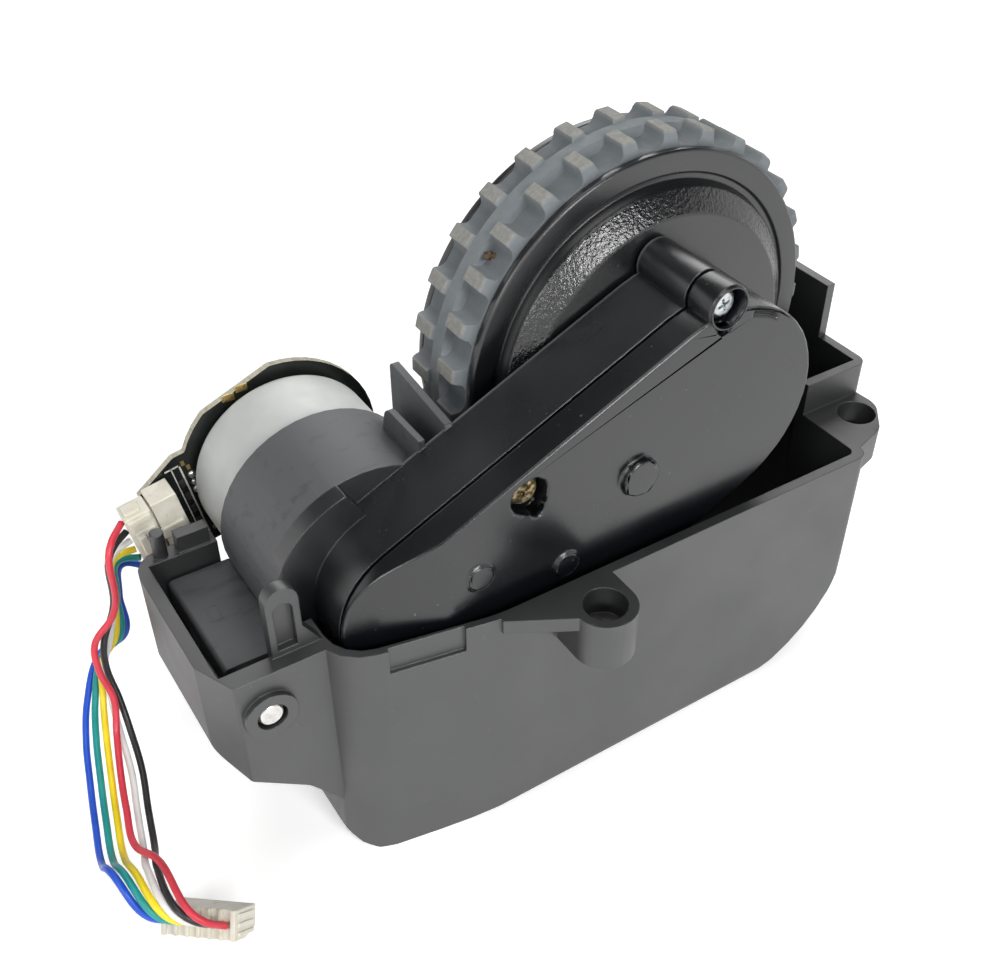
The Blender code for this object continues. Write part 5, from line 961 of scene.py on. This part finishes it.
def hollow(offset):
    """Depth of a row's hollow at a distance round the tread from its middle."""
    away = abs(offset)
    if away <= HOLLOW_FLAT:
        return HOLLOW_DEPTH
    if away <= BRINK:
        run = away - HOLLOW_FLAT
        return HOLLOW_DEPTH - (HOLLOW_ROUND - sqrt(max(0.0, HOLLOW_ROUND ** 2 - run ** 2)))
    lip = HOLLOW_DEPTH - (HOLLOW_ROUND - sqrt(HOLLOW_ROUND ** 2 - (BRINK - HOLLOW_FLAT) ** 2))
    over = min(1.0, (away - BRINK) / BRINK_EASE)
    return lip * (1.0 - over) ** 2.2


def tread_depth(turn, y):
    """How far the tread lies below the tyre's full radius at a place on it."""
    far = y > TYRE_WIDTH / 2
    from_side = TYRE_WIDTH - y if far else y
    start = NEAR_ROW_TURN + (HALF_PITCH_TURN if far else 0.0)
    offset = (turn - start) * WHEEL_RADIUS
    offset -= LUG_PITCH * round(offset / LUG_PITCH)
    row = hollow(offset)
    if from_side < SHOULDER_WIDTH:
        lean = 1.0 - from_side / SHOULDER_WIDTH
        row = max(row, SHOULDER_DROP * (1.0 - sqrt(max(0.0, 1.0 - lean ** 2.4))))
    blend = min(1.0, max(0.0, (from_side - ROW_END + BAND_EASE / 2) / BAND_EASE))
    blend = blend * blend * (3 - 2 * blend)
    return row * (1 - blend) + BAND_DROP * blend


turns = []
for k in range(LUG_COUNT):
    start = NEAR_ROW_TURN + k * 2 * HALF_PITCH_TURN
    offsets = sorted({round(side * station, 6) for station in PITCH_STATIONS for side in (-1, 1)})
    turns += [start + offset / WHEEL_RADIUS for offset in offsets]
ys = list(WIDTH_STATIONS) + [0.0064] + [TYRE_WIDTH - y for y in reversed(WIDTH_STATIONS)]
rubber_form = bmesh.new()
columns = []
for turn in turns:
    sweep = Vector((cos(turn), 0.0, sin(turn)))
    centre = Vector((WHEEL_AXIS[0], 0.0, WHEEL_AXIS[1]))
    column = [centre + sweep * (WHEEL_RADIUS - tread_depth(turn, y)) + Vector((0.0, y, 0.0)) for y in ys]
    for radius, y in ((TYRE_BORE + 0.0004, TYRE_WIDTH), (TYRE_BORE, TYRE_WIDTH - 0.0004),
                      (TYRE_BORE, 0.0004), (TYRE_BORE + 0.0004, 0.0)):
        column.append(centre + sweep * radius + Vector((0.0, y, 0.0)))
    columns.append([rubber_form.verts.new(dot) for dot in column])
for one, two in zip(columns, columns[1:] + columns[:1]):
    for k in range(len(one)):
        after = (k + 1) % len(one)
        rubber_form.faces.new((one[k], two[k], two[after], one[after]))
bmesh.ops.recalc_face_normals(rubber_form, faces=rubber_form.faces)
tyre = piece_of("tyre_tread", rubber_form, sharp=52.0)
rubber, bsdf = finish_of("grey_rubber", (0.18, 0.20, 0.21), 0.72)
height = from_axis(rubber, WHEEL_AXIS)
wear = joined(rubber, height, joined(rubber, noise_on(rubber, 900.0, 5.0), 0.0005, "MULTIPLY"), "ADD")
worn = spread(rubber, wear, 0.0, 1.0, WHEEL_RADIUS - 0.00025, WHEEL_RADIUS + 0.00020)
# Painted shade: the rubber is coloured darker the deeper it lies in the hollows between the lugs.
deep = spread(rubber, height, 1.0, 0.0, WHEEL_RADIUS - 0.0024, WHEEL_RADIUS - 0.0012)
body_tone = two_tone(rubber, spread(rubber, noise_on(rubber, 240.0, 5.0), 0.0, 1.0),
                     (0.165, 0.185, 0.198), (0.205, 0.225, 0.235))
tone_with_painted_hollow_shade = two_tone(rubber, deep, body_tone, (0.135, 0.150, 0.160))
dust_tone = two_tone(rubber, spread(rubber, noise_on(rubber, 1400.0, 4.0), 0.0, 1.0),
                     (0.30, 0.295, 0.270), (0.215, 0.215, 0.205))
rubber.node_tree.links.new(two_tone(rubber, worn, tone_with_painted_hollow_shade, dust_tone), bsdf.inputs["Base Color"])
rubber.node_tree.links.new(spread(rubber, noise_on(rubber, 800.0, 4.0), 0.62, 0.86),
                           bsdf.inputs["Roughness"])
skin = dimpled(rubber, bsdf, noise_on(rubber, 1500.0, 4.0), 0.00004)
dimpled(rubber, bsdf, noise_on(rubber, 6000.0, 2.0), 0.000020, skin)
tyre.data.materials.append(rubber)
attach(tyre, "wheel")
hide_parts("wheel_tyre")

CRUMB_TURN = radians(140.6)
CRUMB_Y = 0.0044
CRUMB_LIFT = 0.0005
crumb_form = bmesh.new()
for k, (shift, size) in enumerate((((0.0, 0.0, 0.0), 0.00062), ((0.0007, -0.0006, 0.0), 0.00045),
                                   ((-0.0006, -0.0003, 0.0), 0.00040))):
    made = bmesh.ops.create_icosphere(crumb_form, subdivisions=3, radius=size)
    for dot in made["verts"]:
        bulge = 1.0 + 0.45 * noise.noise(dot.co * 2600.0 + Vector((k, 0.0, 0.0)))
        dot.co = dot.co * bulge + Vector(shift)
for dot in crumb_form.verts:
    out = Vector((cos(CRUMB_TURN), 0.0, sin(CRUMB_TURN)))
    dot.co += (Vector((WHEEL_AXIS[0], CRUMB_Y, WHEEL_AXIS[1]))
               + out * (WHEEL_RADIUS - HOLLOW_DEPTH + CRUMB_LIFT))
crumb = piece_of("tread_dirt", crumb_form, sharp=60.0)
earth = mottled("dried_dirt", (0.10, 0.065, 0.035), 0.9, 0.0,
                ((0.14, 0.090, 0.048), (0.022, 0.015, 0.010)), (2200.0, 5.0), (3500.0, 4.0), 0.00010)
crumb.data.materials.append(earth)
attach(crumb, "wheel")

# Wheel fixing: the drive shaft is turned steel, with a screw and a washer in the wheel's open back.
# They carry the same zinc plate as the cover screws.
shaft_steel = mottled("turned_steel", (0.66, 0.65, 0.63), 0.28, 1.0,
                      ((0.70, 0.69, 0.67), (0.50, 0.49, 0.47)), (700.0, 4.0),
                      (2500.0, 2.0, (1.0, 6.0, 1.0)), 0.000012,
                      gloss=(0.20, 0.42), gloss_grain=(1200.0, 4.0))
dress(shaft_steel, "output_shaft", "motor_shaft", "first_axle", "second_axle", "third_axle", "arm_spring")
dress(zinc, "wheel_washer")
WHEEL_HEAD_RADIUS = 0.0034
WHEEL_HEAD_HEIGHT = 0.0018
WHEEL_HEAD_Y = 0.0101
WHEEL_SCREW_END_Y = 0.0007
fixing = turned("wheel_screw_turned", WHEEL_AXIS, eased([
    (0.0, WHEEL_SCREW_END_Y), (SHANK_RADIUS, WHEEL_SCREW_END_Y), (SHANK_RADIUS, WHEEL_HEAD_Y),
    (WHEEL_HEAD_RADIUS, WHEEL_HEAD_Y), (WHEEL_HEAD_RADIUS, WHEEL_HEAD_Y + WHEEL_HEAD_HEIGHT * 0.45),
    (WHEEL_HEAD_RADIUS * 0.7, WHEEL_HEAD_Y + WHEEL_HEAD_HEIGHT), (0.0, WHEEL_HEAD_Y + WHEEL_HEAD_HEIGHT)],
    0.0005, 4), 48)
fixing = carved(fixing, cross_bit(WHEEL_AXIS, WHEEL_HEAD_Y + WHEEL_HEAD_HEIGHT,
                                  -0.0011, 0.0018, 0.00034, 0.0))
fixing.data.materials.append(zinc)
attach(fixing, "wheel")
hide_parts("wheel_screw")

# Gear train: four moulded acetal gears, greased, between a brass motor pinion and the wheel's gear.
# They run on steel pins and in two sintered bronze bushes inside the shells.
acetal = mottled("natural_acetal", (0.78, 0.78, 0.74), 0.34, 0.0,
                 ((0.80, 0.80, 0.76), (0.66, 0.64, 0.55)), (260.0, 5.0), (1500.0, 3.0), 0.00002,
                 gloss=(0.18, 0.46), gloss_grain=(500.0, 4.0))
pinion_brass = mottled("cut_brass", (0.72, 0.54, 0.24), 0.30, 1.0,
                       ((0.76, 0.58, 0.27), (0.56, 0.40, 0.17)), (900.0, 4.0), (3000.0, 2.0), 0.00001)
bush_bronze = mottled("sintered_bronze", (0.44, 0.27, 0.13), 0.52, 0.85,
                      ((0.48, 0.30, 0.15), (0.24, 0.14, 0.07)), (2600.0, 5.0), (4200.0, 3.0), 0.00003)
dress(acetal, "first_gear", "second_gear", "third_gear", "output_gear")
dress(pinion_brass, "motor_pinion")
dress(bush_bronze, "cover_bush", "base_bush")
